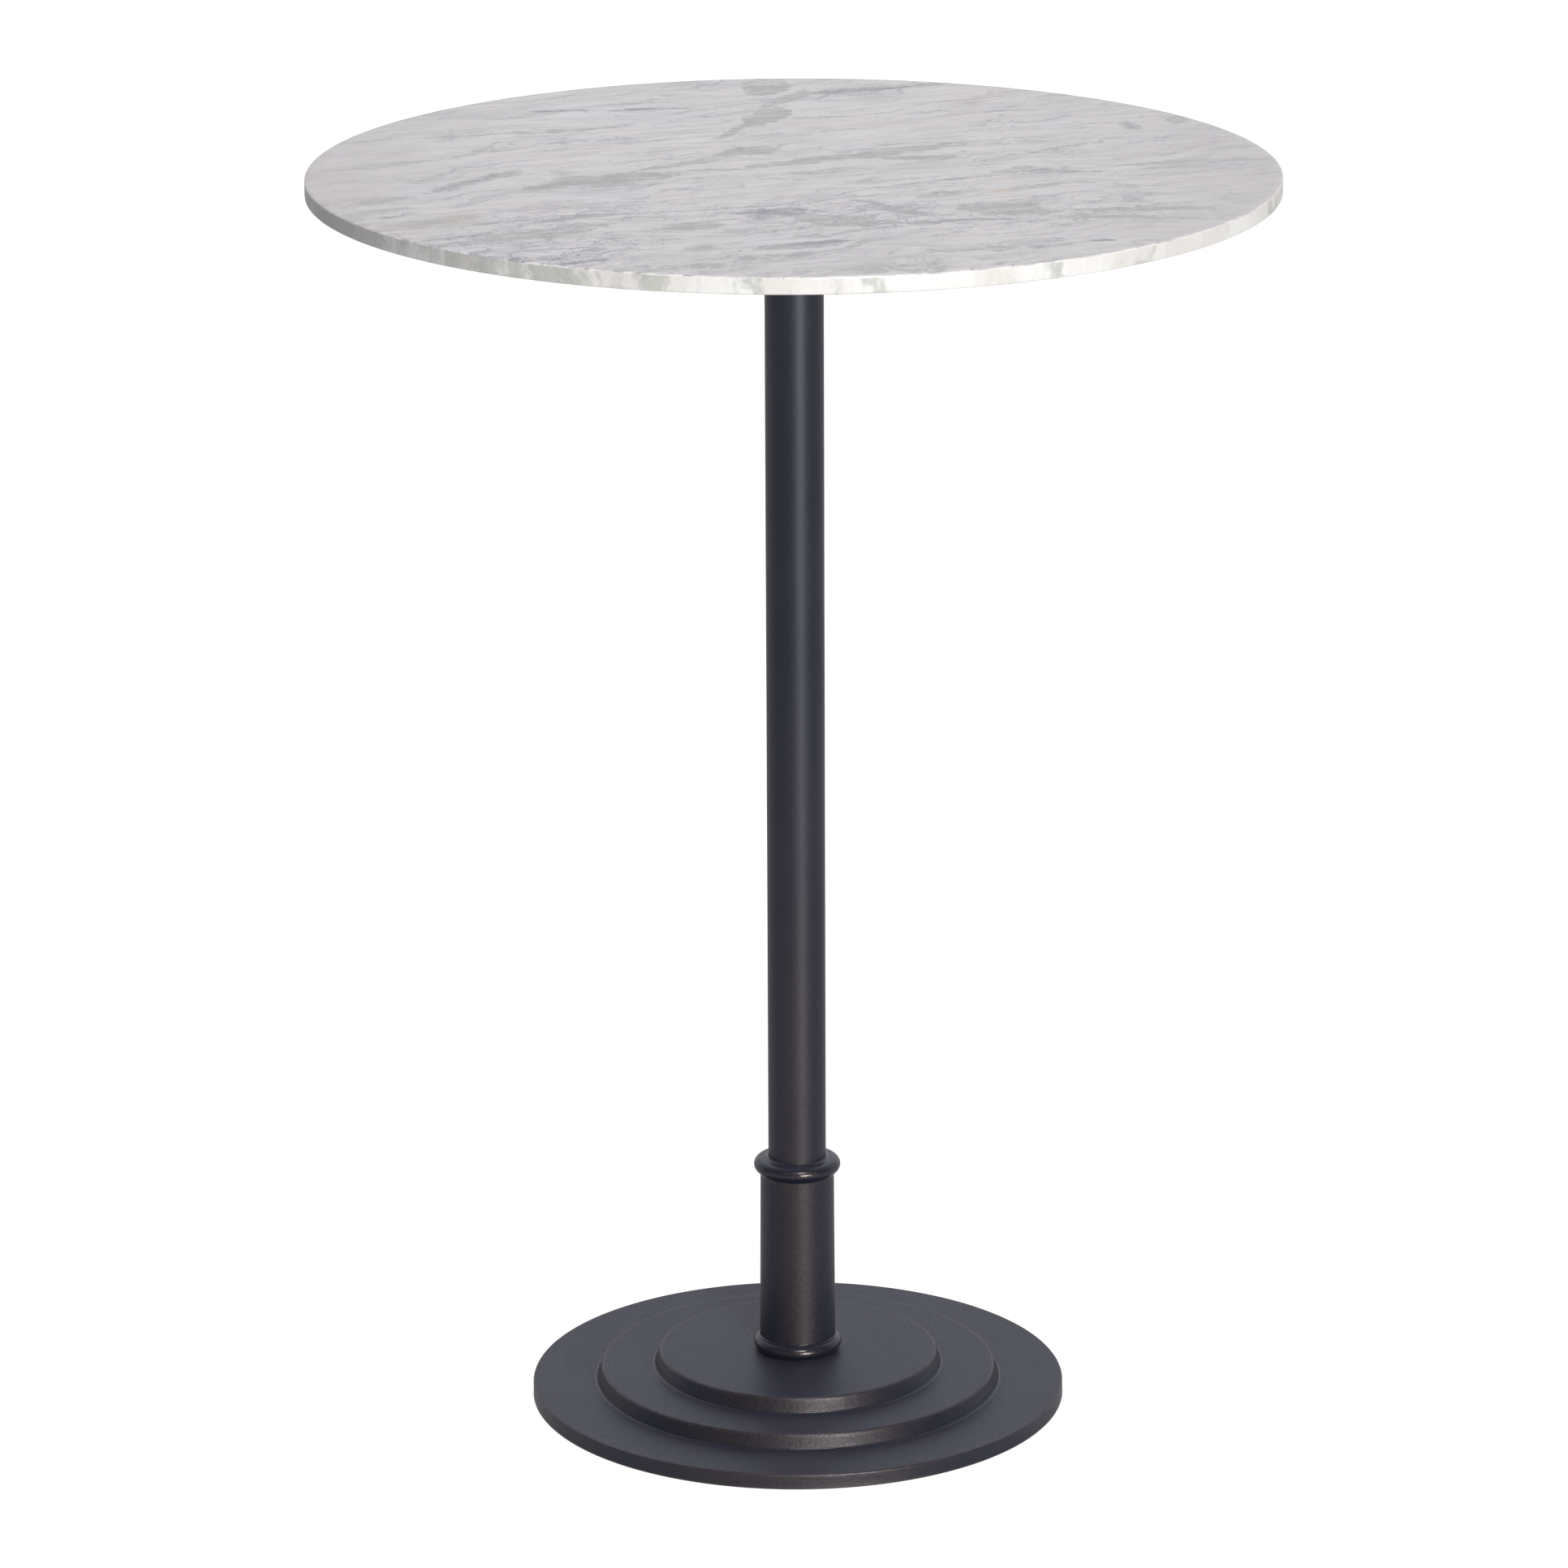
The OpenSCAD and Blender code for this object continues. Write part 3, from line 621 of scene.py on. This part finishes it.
def blackened_bronze(name, cast, warm, polish=0.0):
    """Satin black, with painted highlight colour: low down, on upright faces turned to the viewer, brown
    flecks go into the colour and the highlights turn warm. cast is how coarse the surface is, from 0
    for a drawn tube to 1, and warm is the colour of its highlights near the floor."""
    graph = Graph(name)
    height_up = graph.separate(graph.position)[2]
    facing = graph.separate(graph.node("ShaderNodeNewGeometry").outputs["Normal"])[2]
    bend = graph.node("ShaderNodeAttribute", attribute_name="bend").outputs["Fac"]
    cloudy = graph.noise(graph.position, 0.060, 3, 0.5)
    mottle = graph.noise(graph.position, 0.009, 4, 0.65)
    speckle = graph.noise(graph.position, 0.0016, 4, 0.7)
    grit = graph.noise(graph.position, 0.0011, 3, 0.6)

    upright = graph.remap(facing, 0.80, 0.30)
    # Painted highlight colour, strongest low down on upright faces turned to the viewer.
    head_on = graph.node("ShaderNodeLayerWeight", {"Blend": 0.5}).outputs["Facing"]
    head_on = graph.remap(head_on, 0.30, 0.05)
    painted_warm_sheen = graph.math("MULTIPLY", graph.remap(height_up, 0.75, 0.10), upright)
    painted_warm_sheen = graph.math("MULTIPLY", painted_warm_sheen, head_on)
    rubbed = graph.remap(mottle, 0.30, 0.62, 0.35, 1)
    rubbed = graph.math("MULTIPLY", graph.remap(bend, 0.10, 0.42), rubbed)

    black = graph.mix(graph.remap(cloudy, 0.3, 0.7), (0.0074, 0.0080, 0.0155), (0.0105, 0.0112, 0.0195))
    # Brown flecks painted into the colour where the warm highlight is seen.
    painted_brown_sheen = graph.math("MULTIPLY", painted_warm_sheen, graph.remap(speckle, 0.40, 0.68, 0.10, 0.50))
    colour = graph.mix(painted_brown_sheen, black, (0.030, 0.020, 0.016))
    colour = graph.mix(graph.math("MULTIPLY", rubbed, 0.25), colour, (0.075, 0.050, 0.040))

    # Up-facing faces turn lighter, bluish and a little rougher: partly dust, partly a painted sheen of the
    # bright backdrop.
    dust_and_sheen = graph.remap(facing, 0.75, 1.0)
    dust_and_sheen = graph.math("MULTIPLY", dust_and_sheen, graph.remap(cloudy, 0.3, 0.7, 0.85, 1.0))
    colour = graph.mix(graph.math("MULTIPLY", dust_and_sheen, 0.30), colour, (0.078, 0.079, 0.122))

    # Highlights tinted warm where the painted warm sheen is, bluish elsewhere.
    tint = graph.mix(painted_warm_sheen, (0.84, 0.86, 1.0), warm)
    roughness = graph.remap(speckle, 0.3, 0.7, 0.34 - polish, 0.50 - polish)
    roughness = graph.math("ADD", roughness, graph.math("MULTIPLY", dust_and_sheen, 0.06))
    roughness = graph.math("SUBTRACT", roughness, graph.math("MULTIPLY", rubbed, 0.06))
    roughness = graph.math("SUBTRACT", roughness, graph.remap(bend, -0.10, -0.35, 0.0, 0.12))
    rough_grain = graph.noise(graph.position, 0.0030, 4, 0.6)
    coarse = graph.math("MULTIPLY", graph.remap(upright, 0, 1, 0.5, 1.3), cast)
    fine = graph.math("MULTIPLY", grit, 0.35)
    height = graph.math("ADD", fine, graph.math("MULTIPLY", rough_grain, coarse))
    return graph.finish(
        Base_Color=colour, Roughness=roughness, IOR=1.5, Specular_Tint=tint,
        Normal=graph.bump(height, 0.00010 + 0.00014 * cast, 0.8),
    )


tube_finish = blackened_bronze("bronze_tube", 0.15, (1.0, 0.90, 0.89))
turned_finish = blackened_bronze("bronze_turned", 0.6, (1.0, 0.85, 0.79))
collar_finish = blackened_bronze("bronze_collar", 0.45, (1.0, 0.87, 0.82), 0.15)
cast_finish = blackened_bronze("bronze_cast", 0.9, (1.0, 0.93, 0.945))


def build_column():
    """The drawn tube, with a trace of ripple along it."""
    low, high, chamfer = column_low.z, column_high.z, 0.5 * MM
    outer = [
        (COLUMN_R - chamfer, low), (COLUMN_R, low + chamfer),
        (COLUMN_R, high - chamfer), (COLUMN_R - chamfer, high),
    ]
    inner = [(COLUMN_BORE_R, high), (COLUMN_BORE_R, low)]
    column = lathe("column", densify(outer, 8 * MM) + inner, 128)
    relief(column, lambda co, normal: 0.05 * MM * lumps(co, 60 * MM, 3.0))
    column.data.materials.append(tube_finish)
    smooth(column)
    return stand_for(column, "column_tube", TABLE)


def build_sleeve():
    """The cast sleeve: tapered outside, hollow between the two lands that grip the column."""
    low, high = sleeve_low.z, sleeve_high.z
    foot_r, top_r = sleeve_high.x, SLEEVE_TOP_R
    land_r, hollow_r, land_h = COLUMN_R + SLIP, 26.4 * MM, 12 * MM
    outside = densify([(foot_r, low), (top_r, high)], 2.5 * MM)
    inside = [
        (land_r, high), (land_r, high - land_h), (hollow_r, high - land_h - 2 * MM),
        (hollow_r, low + land_h + 2 * MM), (land_r, low + land_h), (land_r, low),
    ]
    sleeve = lathe("sleeve", outside + inside, 144)

    def uneven(co, normal):
        if math.hypot(co.x, co.y) < land_r + 3 * MM:
            return 0.0
        return 0.08 * MM * lumps(co, 22 * MM, 7.0, 3)

    relief(sleeve, uneven)
    sleeve.data.materials.append(turned_finish)
    smooth(sleeve)
    return stand_for(sleeve, "column_sleeve", TABLE)


def bead(name, node, bore_r, outline, holes=()):
    """A rounded ring. The relief stays off the bore, so that the ring still fits."""
    ring = lathe(name, outline, 144)

    def uneven(co, normal):
        if math.hypot(co.x, co.y) < bore_r + 1.5 * MM:
            return 0.0
        return 0.10 * MM * lumps(co, 9 * MM, 9.0, 3)

    relief(ring, uneven)
    if holes:
        combine(ring, list(holes), "DIFFERENCE")
    ring.data.materials.append(collar_finish)
    smooth(ring)
    return stand_for(ring, node, TABLE)


def build_upper_collar():
    bore_r, widest = COLUMN_R + SLIP, upper_high.x
    mid, sleeve_r = upper_low.z + 9 * MM, SLEEVE_TOP_R
    bead_r, screw_hole_r = 6.2 * MM, 2.55 * MM
    outline = [(bore_r, upper_low.z), (sleeve_r, upper_low.z)]
    outline += arc(sleeve_r + 1.3 * MM, upper_low.z + 1.3 * MM, 1.3 * MM, 200, 150, 3)
    outline += densify(arc(widest - bead_r, mid, bead_r, -50, 80, 18), 1.0 * MM)
    outline += densify(arc(bore_r + 2.6 * MM, upper_high.z + 1.6 * MM, 2.6 * MM, 265, 220, 5), 0.6 * MM)
    outline += [(bore_r, upper_high.z)]
    holes = []
    for turn in (65, 115):
        way = Vector((math.cos(math.radians(turn)), math.sin(math.radians(turn)), 0))
        start = way * 20 * MM + Vector((0, 0, mid))
        holes.append(cylinder("hole", screw_hole_r, start, start + way * 30 * MM, 32))
    return bead("upper_ring", "upper_collar", bore_r, outline, holes)


def build_lower_collar():
    bore_r, widest, height = sleeve_high.x + SLIP, lower_high.x, lower_high.z - lower_low.z
    bead_r = 6 * MM
    outline = [(bore_r, lower_low.z), (widest - 3.2 * MM, lower_low.z)]
    outline += densify(arc(widest - bead_r, lower_low.z + height * 0.45, bead_r, -55, 74, 18), 1.0 * MM)
    outline += arc(bore_r + 1.3 * MM, lower_high.z + 0.2 * MM, 1.3 * MM, 250, 195, 4)
    outline += [(bore_r, lower_high.z)]
    return bead("lower_ring", "lower_collar", bore_r, outline)


def step_outline(foot_r, top, foot):
    """One drafted step of the base, from its rounded arris down to the fillet at its foot."""
    draft, arris, fillet = 3.5 * MM, 3.0 * MM, 1.8 * MM
    return (
        arc(foot_r - draft - arris, top - arris, arris, 90, 10, 9)
        + arc(foot_r + fillet, foot + fillet, fillet, 190, 270, 5)
    )


def build_base():
    """The stepped casting, hollow underneath, with ribs, a boss for the tie rod and four for the glides."""
    rim_h, casting_t, rim_t, foot_ring_w = 13.5 * MM, 8 * MM, 7 * MM, 14 * MM
    middle_h = (rim_h + BASE_TOP) / 2
    middle_r, upper_r, bore_r = 172.5 * MM, 122.75 * MM, 6.5 * MM
    spigot_r, spigot_top = COLUMN_BORE_R - 2 * SLIP, base_high.z
    chamfer = 1.5 * MM
    outside = [(bore_r, spigot_top), (spigot_r - chamfer, spigot_top), (spigot_r, spigot_top - chamfer)]
    outside += [(spigot_r, BASE_TOP)]
    outside += step_outline(upper_r, BASE_TOP, middle_h)
    outside += step_outline(middle_r, middle_h, rim_h)
    outside += arc(BASE_R - 2 * MM, rim_h - 2 * MM, 2 * MM, 90, 0, 6)
    outside += [(BASE_R, 1 * MM), (BASE_R - 1 * MM, 0)]
    underside = [
        (BASE_R - foot_ring_w, 0), (BASE_R - foot_ring_w - 2 * MM, rim_h - rim_t),
        (middle_r - casting_t, rim_h - rim_t), (middle_r - casting_t - 2 * MM, middle_h - casting_t),
        (upper_r - casting_t, middle_h - casting_t), (upper_r - casting_t - 2 * MM, BASE_TOP - casting_t),
        (bore_r, BASE_TOP - casting_t),
    ]
    base = lathe("stepped_base", densify(outside, 3 * MM) + densify(underside, 12 * MM), 360)

    def uneven(co, normal):
        radius = math.hypot(co.x, co.y)
        if radius < 30 * MM or co.z < 2 * MM or normal.z < -0.3:
            return 0.0
        upright = 1 - abs(normal.z)
        hammered = 0.22 * MM * upright * lumps(co, 7 * MM, 2.0, 3)
        return 0.12 * MM * lumps(co, 45 * MM, 1.0) + hammered

    relief(base, uneven)

    def rib(turn, low, tops):
        """A radial bar from 20 mm out, a little thinner along its free lower edge, as moulded. Its
        top steps down outward: tops lists how far out each step ends and how high it is."""
        wide, thin, start = 3 * MM, 2.5 * MM, 20 * MM
        profile, reached = [(start, low), (tops[-1][0], low)], 0.0
        for length, high in reversed(tops):
            if reached:
                profile.append((length, reached))
            profile.append((length, high + 1 * MM))
            reached = high + 1 * MM
        profile.append((start, reached))
        n = len(profile)
        half = [thin if z == low else wide for _, z in profile]
        corners = [(x, -h, z) for (x, z), h in zip(profile, half)]
        corners += [(x, h, z) for (x, z), h in zip(profile, half)]
        sides = [tuple(range(n)), tuple(reversed(range(n, 2 * n)))]
        sides += [((i + 1) % n, i, i + n, (i + 1) % n + n) for i in range(n)]
        bar = mesh_object("rib", corners, sides)
        bar.data.transform(Matrix.Rotation(math.radians(turn), 4, "Z"))
        turn_outward(bar)
        return bar

    rib_z, short_rib_z, boss_z = 6 * MM, 16 * MM, 22 * MM
    step_t, top_t = middle_h - casting_t, BASE_TOP - casting_t
    inner_end = (upper_r - casting_t - 1 * MM, top_t)
    long_tops = [
        inner_end, (middle_r - 4 * MM, step_t), (BASE_R - foot_ring_w + 1 * MM, rim_h - rim_t),
    ]
    glide_boss_r, glide_hole_r, plate_recess_r = 10 * MM, 4.05 * MM, 33 * MM
    solids = [cylinder("boss", 45 * MM, (0, 0, boss_z), (0, 0, top_t + 1 * MM), 96)]
    for turn in (0, 90, 180, 270):
        solids.append(rib(turn, rib_z, long_tops))
        solids.append(rib(turn + 45, short_rib_z, [inner_end]))
    # The cuts stop just short of, or just past, the faces beside them, so that no faces coincide.
    cuts = [
        cylinder("cut", 6.6 * MM, (0, 0, -1 * MM), (0, 0, top_t + 1.5 * MM), 96),
        cylinder("cut", plate_recess_r, (0, 0, -1 * MM), (0, 0, boss_z + 0.02 * MM), 96),
    ]
    for turn in (45, 135, 225, 315):
        way = GLIDE_CIRCLE_R * Vector((math.cos(math.radians(turn)), math.sin(math.radians(turn)), 0))
        up = Vector((0, 0, 1))
        solids.append(cylinder("boss", glide_boss_r, way + up * 11.7 * MM, way + up * (step_t + 1 * MM)))
        cuts.append(cylinder("cut", glide_hole_r, way + up * 10 * MM, way + up * 22.3 * MM))
    combine(base, solids, "UNION")
    combine(base, cuts, "DIFFERENCE")
    base.data.materials.append(cast_finish)
    smooth(base, 35)
    return stand_for(base, "base_casting", TABLE)


# ---------------------------------------------------------------- metal, cork and nylon

ZINC = (0.60, 0.60, 0.57)


def plated_steel(name, colour, roughness):
    graph = Graph(name)
    brushed = graph.noise(graph.mapping(graph.position, scale=(1, 1, 0.15)), 0.0006, 3, 0.6)
    stain = graph.noise(graph.position, 0.006, 4, 0.6)
    stained = tuple(c * f for c, f in zip(colour, (0.8, 0.76, 0.66)))
    tint = graph.mix(graph.remap(stain, 0.45, 0.75, 0, 0.5), colour, stained)
    rough = graph.math("ADD", graph.remap(stain, 0.3, 0.7, 0, 0.15), roughness)
    return graph.finish(
        Base_Color=tint, Metallic=1.0, Roughness=rough, Normal=graph.bump(brushed, 0.00002, 0.5)
    )


def sand_casting():
    graph = Graph("sand_casting")
    sand = graph.noise(graph.position, 0.0014, 5, 0.65)
    wide = graph.noise(graph.position, 0.02, 3, 0.5)
    colour = graph.mix(graph.remap(wide, 0.35, 0.7), (0.016, 0.016, 0.018), (0.034, 0.031, 0.030))
    return graph.finish(
        Base_Color=colour, Roughness=graph.remap(sand, 0.3, 0.7, 0.55, 0.75), IOR=1.5,
        Normal=graph.bump(sand, 0.00035, 0.8),
    )


def pressed_cork():
    graph = Graph("pressed_cork")
    grains = graph.node("ShaderNodeTexVoronoi", {"Vector": graph.position, "Scale": 600.0}).outputs["Color"]
    share = graph.separate(grains)[0]
    colour = graph.mix(share, (0.42, 0.27, 0.15), (0.62, 0.44, 0.28))
    return graph.finish(Base_Color=colour, Roughness=0.85, Normal=graph.bump(share, 0.0002))


def moulded_nylon():
    graph = Graph("nylon_pad")
    grain = graph.noise(graph.position, 0.0008, 3, 0.6)
    scuff = graph.noise(graph.position, 0.007, 4, 0.7)
    colour = graph.mix(graph.remap(scuff, 0.5, 0.8, 0, 0.5), (0.018, 0.018, 0.019), (0.06, 0.06, 0.058))
    return graph.finish(
        Base_Color=colour, Roughness=graph.remap(scuff, 0.3, 0.7, 0.42, 0.6),
        Normal=graph.bump(grain, 0.00005),
    )


def build_pads():
    """The four glide pads: a moulded disc with a rounded rim and the socket that holds the ball."""
    gap, pad_r, axis_r = GLIDE_GAP, 16 * MM, 0.15 * MM
    socket_r, mouth_z = BALL_R + 0.05 * MM, gap + 6 * MM
    mouth_r = math.sqrt(socket_r ** 2 - (mouth_z - BALL_Z) ** 2)
    nylon = moulded_nylon()
    outline = [(axis_r, gap + 0.3 * MM), (pad_r - 5 * MM, gap + 0.3 * MM), (pad_r - 4.7 * MM, gap)]
    outline += arc(pad_r - 1.2 * MM, gap + 1.2 * MM, 1.2 * MM, -90, 0, 5)
    outline += arc(pad_r - 0.6 * MM, gap + 1.9 * MM, 0.6 * MM, 0, 80, 4)
    outline += arc(pad_r - 7.4 * MM, gap + 5.0 * MM, 1.6 * MM, 255, 185, 5)
    outline += arc(6.4 * MM, mouth_z - 0.6 * MM, 0.6 * MM, 0, 90, 4)
    outline += [(mouth_r + 0.4 * MM, mouth_z)]
    opening = math.degrees(math.acos(mouth_r / socket_r))
    floor_angle = math.degrees(math.acos(axis_r / socket_r))
    outline += arc(0, BALL_Z, socket_r, opening - 4, -floor_angle, 14)
    for n in (1, 2, 3, 4):
        pad = lathe(f"glide_foot_{n}", outline, 72, on_axis=True)
        pad.data.transform(at_glide(n))
        pad.data.materials.append(nylon)
        smooth(pad, 35)
        stand_for(pad, f"glide_pad_{n}", f"pad_{n}")


def paint_nodes():
    """Gives each CAD solid that is still showing the finish of its material slot."""
    zinc = plated_steel("zinc_plate", ZINC, 0.28)
    oxide = plated_steel("black_oxide", (0.055, 0.055, 0.06), 0.38)
    brass = plated_steel("turned_brass", (0.78, 0.55, 0.22), 0.25)
    finishes = {
        "zinc_steel": zinc, "black_steel": oxide, "brass": brass, "raw_casting": sand_casting(),
        "cork": pressed_cork(),
    }
    slots = {row["node"]: row["material_slot"] for row in frame["record"]["subparts"]}
    for name, piece in frame["nodes"].items():
        if not piece.hide_render:
            piece.data.materials.clear()
            piece.data.materials.append(finishes[slots[name]])


def threaded_rod(radius, low, high, pitch=1.25 * MM, segments=32):
    """A closed rod with a real thread: a skin whose radius depends on the turn and the height."""
    rings = math.ceil((high - low) / (pitch / 8))
    vertices = []
    for i in range(rings + 1):
        z = low + (high - low) * i / rings
        chamfered = radius - 0.9 * MM + min(z - low, high - z)
        for k in range(segments):
            turn = 2 * math.pi * k / segments
            phase = (z / pitch - k / segments) % 1
            r = min(chamfered, radius - 0.61 * pitch * abs(2 * phase - 1))
            vertices.append((r * math.cos(turn), r * math.sin(turn), z))
    faces = [
        (i * segments + k, i * segments + (k + 1) % segments,
         (i + 1) * segments + (k + 1) % segments, (i + 1) * segments + k)
        for i in range(rings) for k in range(segments)
    ]
    faces += [tuple(reversed(range(segments))), tuple(range(rings * segments, (rings + 1) * segments))]
    return mesh_object("rod", vertices, faces)


def at_glide(n):
    """Moves a piece from the Z axis to glide n, from 1 to 4."""
    turn = Matrix.Rotation(math.radians(90 * n - 45), 4, "Z")
    return turn @ Matrix.Translation((GLIDE_CIRCLE_R, 0, 0))


def build_stems():
    """The four glide stems: a ball on a neck, a chamfered hexagon and an M8 thread."""
    neck_r, stem_r, axis_r = 1.9 * MM, 4 * MM, 0.15 * MM
    hex_low, hex_high = GLIDE_GAP + 7 * MM, GLIDE_GAP + 11 * MM
    corner_r = 6.5 * MM / math.cos(math.radians(30))
    zinc = plated_steel("zinc_thread", ZINC, 0.28)
    for n in (1, 2, 3, 4):
        start = math.degrees(math.asin(axis_r / BALL_R)) - 90
        ball = arc(0, BALL_Z, BALL_R, start, math.degrees(math.acos(neck_r / BALL_R)), 20)
        ball += [(neck_r, hex_low + 0.5 * MM), (axis_r, hex_low + 0.5 * MM)]
        stem = lathe(f"glide_screw_{n}", ball, 48, on_axis=True)
        spare = 0.2 * MM
        nut = cylinder("hexagon", corner_r, (0, 0, hex_low - spare), (0, 0, hex_high + spare), 6)
        edge_r = corner_r + 0.05 * MM
        edge = [
            (0.1 * MM, hex_low), (edge_r - 0.9 * MM, hex_low), (edge_r, hex_low + 0.5 * MM),
            (edge_r, hex_high - 0.5 * MM), (edge_r - 0.9 * MM, hex_high), (0.1 * MM, hex_high),
        ]
        combine(nut, [lathe("edge", edge, 48, on_axis=True)], "INTERSECT")
        top_z = hex_high + 10.5 * MM
        combine(stem, [nut, threaded_rod(stem_r, hex_high - 0.5 * MM, top_z)], "UNION")
        stem.data.transform(at_glide(n))
        stem.data.materials.append(zinc)
        smooth(stem, 30)
        stand_for(stem, f"glide_stem_{n}", f"stem_{n}")


# ---------------------------------------------------------------- floor, light and camera

def build_floor():
    floor = mesh_object("floor", [(-40, -40, 0), (40, -40, 0), (40, 40, 0), (-40, 40, 0)], [(0, 1, 2, 3)])
    graph = Graph("pale_floor")
    shade = graph.noise(graph.position, 0.6, 3)
    colour = graph.mix(shade, (0.33, 0.33, 0.335), (0.35, 0.35, 0.355))
    seen = graph.node("ShaderNodeLightPath").outputs["Is Camera Ray"]
    floor.data.materials.append(graph.finish(
        Base_Color=colour, Roughness=0.9, Specular_IOR_Level=0.1,
        Emission_Color=(1.0, 1.0, 1.0), Emission_Strength=graph.blend(seen, 0.30, 0.86),
    ))


def build_light():
    """A white backdrop behind the table, a dim room in front of it, a low key light and a high one."""
    world = bpy.data.worlds.new("studio")
    bpy.context.scene.world = world
    world.use_nodes = True
    tree = world.node_tree
    tree.nodes.clear()

    def node(kind, inputs, **settings):
        made = tree.nodes.new(kind)
        for key, value in settings.items():
            setattr(made, key, value)
        for key, value in inputs.items():
            if isinstance(value, bpy.types.NodeSocket):
                tree.links.new(value, made.inputs[key])
            else:
                made.inputs[key].default_value = value
        return made.outputs

    way = node("ShaderNodeSeparateXYZ", {0: node("ShaderNodeTexCoord", {})["Generated"]})
    backdrop = {0: way[1], 1: -0.1, 2: 0.55, 3: 0.16, 4: 0.80}
    backdrop = node("ShaderNodeMapRange", backdrop, interpolation_type="SMOOTHSTEP")[0]
    ceiling = {0: way[2], 1: 0.45, 2: 0.85, 3: 0.0, 4: 0.05}
    ceiling = node("ShaderNodeMapRange", ceiling, interpolation_type="SMOOTHSTEP")[0]
    room = node("ShaderNodeMath", {0: backdrop, 1: ceiling}, operation="ADD")[0]
    room = node("ShaderNodeBackground", {"Color": (0.95, 0.96, 1.0, 1), "Strength": room})[0]
    seen = node("ShaderNodeBackground", {"Color": (1, 1, 1, 1), "Strength": 1.0})[0]
    camera = node("ShaderNodeLightPath", {})["Is Camera Ray"]
    both = node("ShaderNodeMixShader", {0: camera, 1: room, 2: seen})[0]
    node("ShaderNodeOutputWorld", {"Surface": both})

    for name, energy, angle, colour, turn, lift in (
        ("key", 3.0, 14, (1.0, 0.99, 0.97), 22, 5),
        ("high_key", 1.3, 9, (1.0, 0.94, 0.89), 14, 50),
    ):
        lamp = bpy.data.objects.new(name, bpy.data.lights.new(name, "SUN"))
        lamp.data.energy = energy
        lamp.data.angle = math.radians(angle)
        lamp.data.color = colour
        turn, lift = math.radians(turn), math.radians(lift)
        flat = math.cos(lift)
        towards = Vector((math.sin(turn) * flat, -math.cos(turn) * flat, math.sin(lift)))
        lamp.rotation_euler = towards.to_track_quat("Z", "Y").to_euler()
        bpy.context.scene.collection.objects.link(lamp)


def build_camera():
    """The camera stands 5.7 m in front and 2.24 m up, and looks down at the table."""
    data = bpy.data.cameras.new("camera")
    data.sensor_width = 36
    data.lens = 36 * 4.5197
    data.clip_end = 200
    camera = bpy.data.objects.new("camera", data)
    pitch, yaw, roll = 0.28986, -0.00571, -0.004
    flat = math.cos(pitch)
    ahead = Vector((math.sin(yaw) * flat, math.cos(yaw) * flat, -math.sin(pitch)))
    right = Vector((math.cos(yaw), -math.sin(yaw), 0))
    up = right.cross(ahead)
    turned_right = math.cos(roll) * right + math.sin(roll) * up
    turned_up = -math.sin(roll) * right + math.cos(roll) * up
    rotation = Matrix((turned_right, turned_up, -ahead)).transposed().to_4x4()
    camera.matrix_world = Matrix.Translation((0.0226, -5.6985, 2.2435)) @ rotation
    bpy.context.scene.collection.objects.link(camera)
    bpy.context.scene.camera = camera
    bpy.context.scene.view_settings.view_transform = "Standard"


finish_slab()
build_column()
build_sleeve()
build_upper_collar()
build_lower_collar()
build_base()
build_stems()
build_pads()
paint_nodes()
build_floor()
build_light()
build_camera()
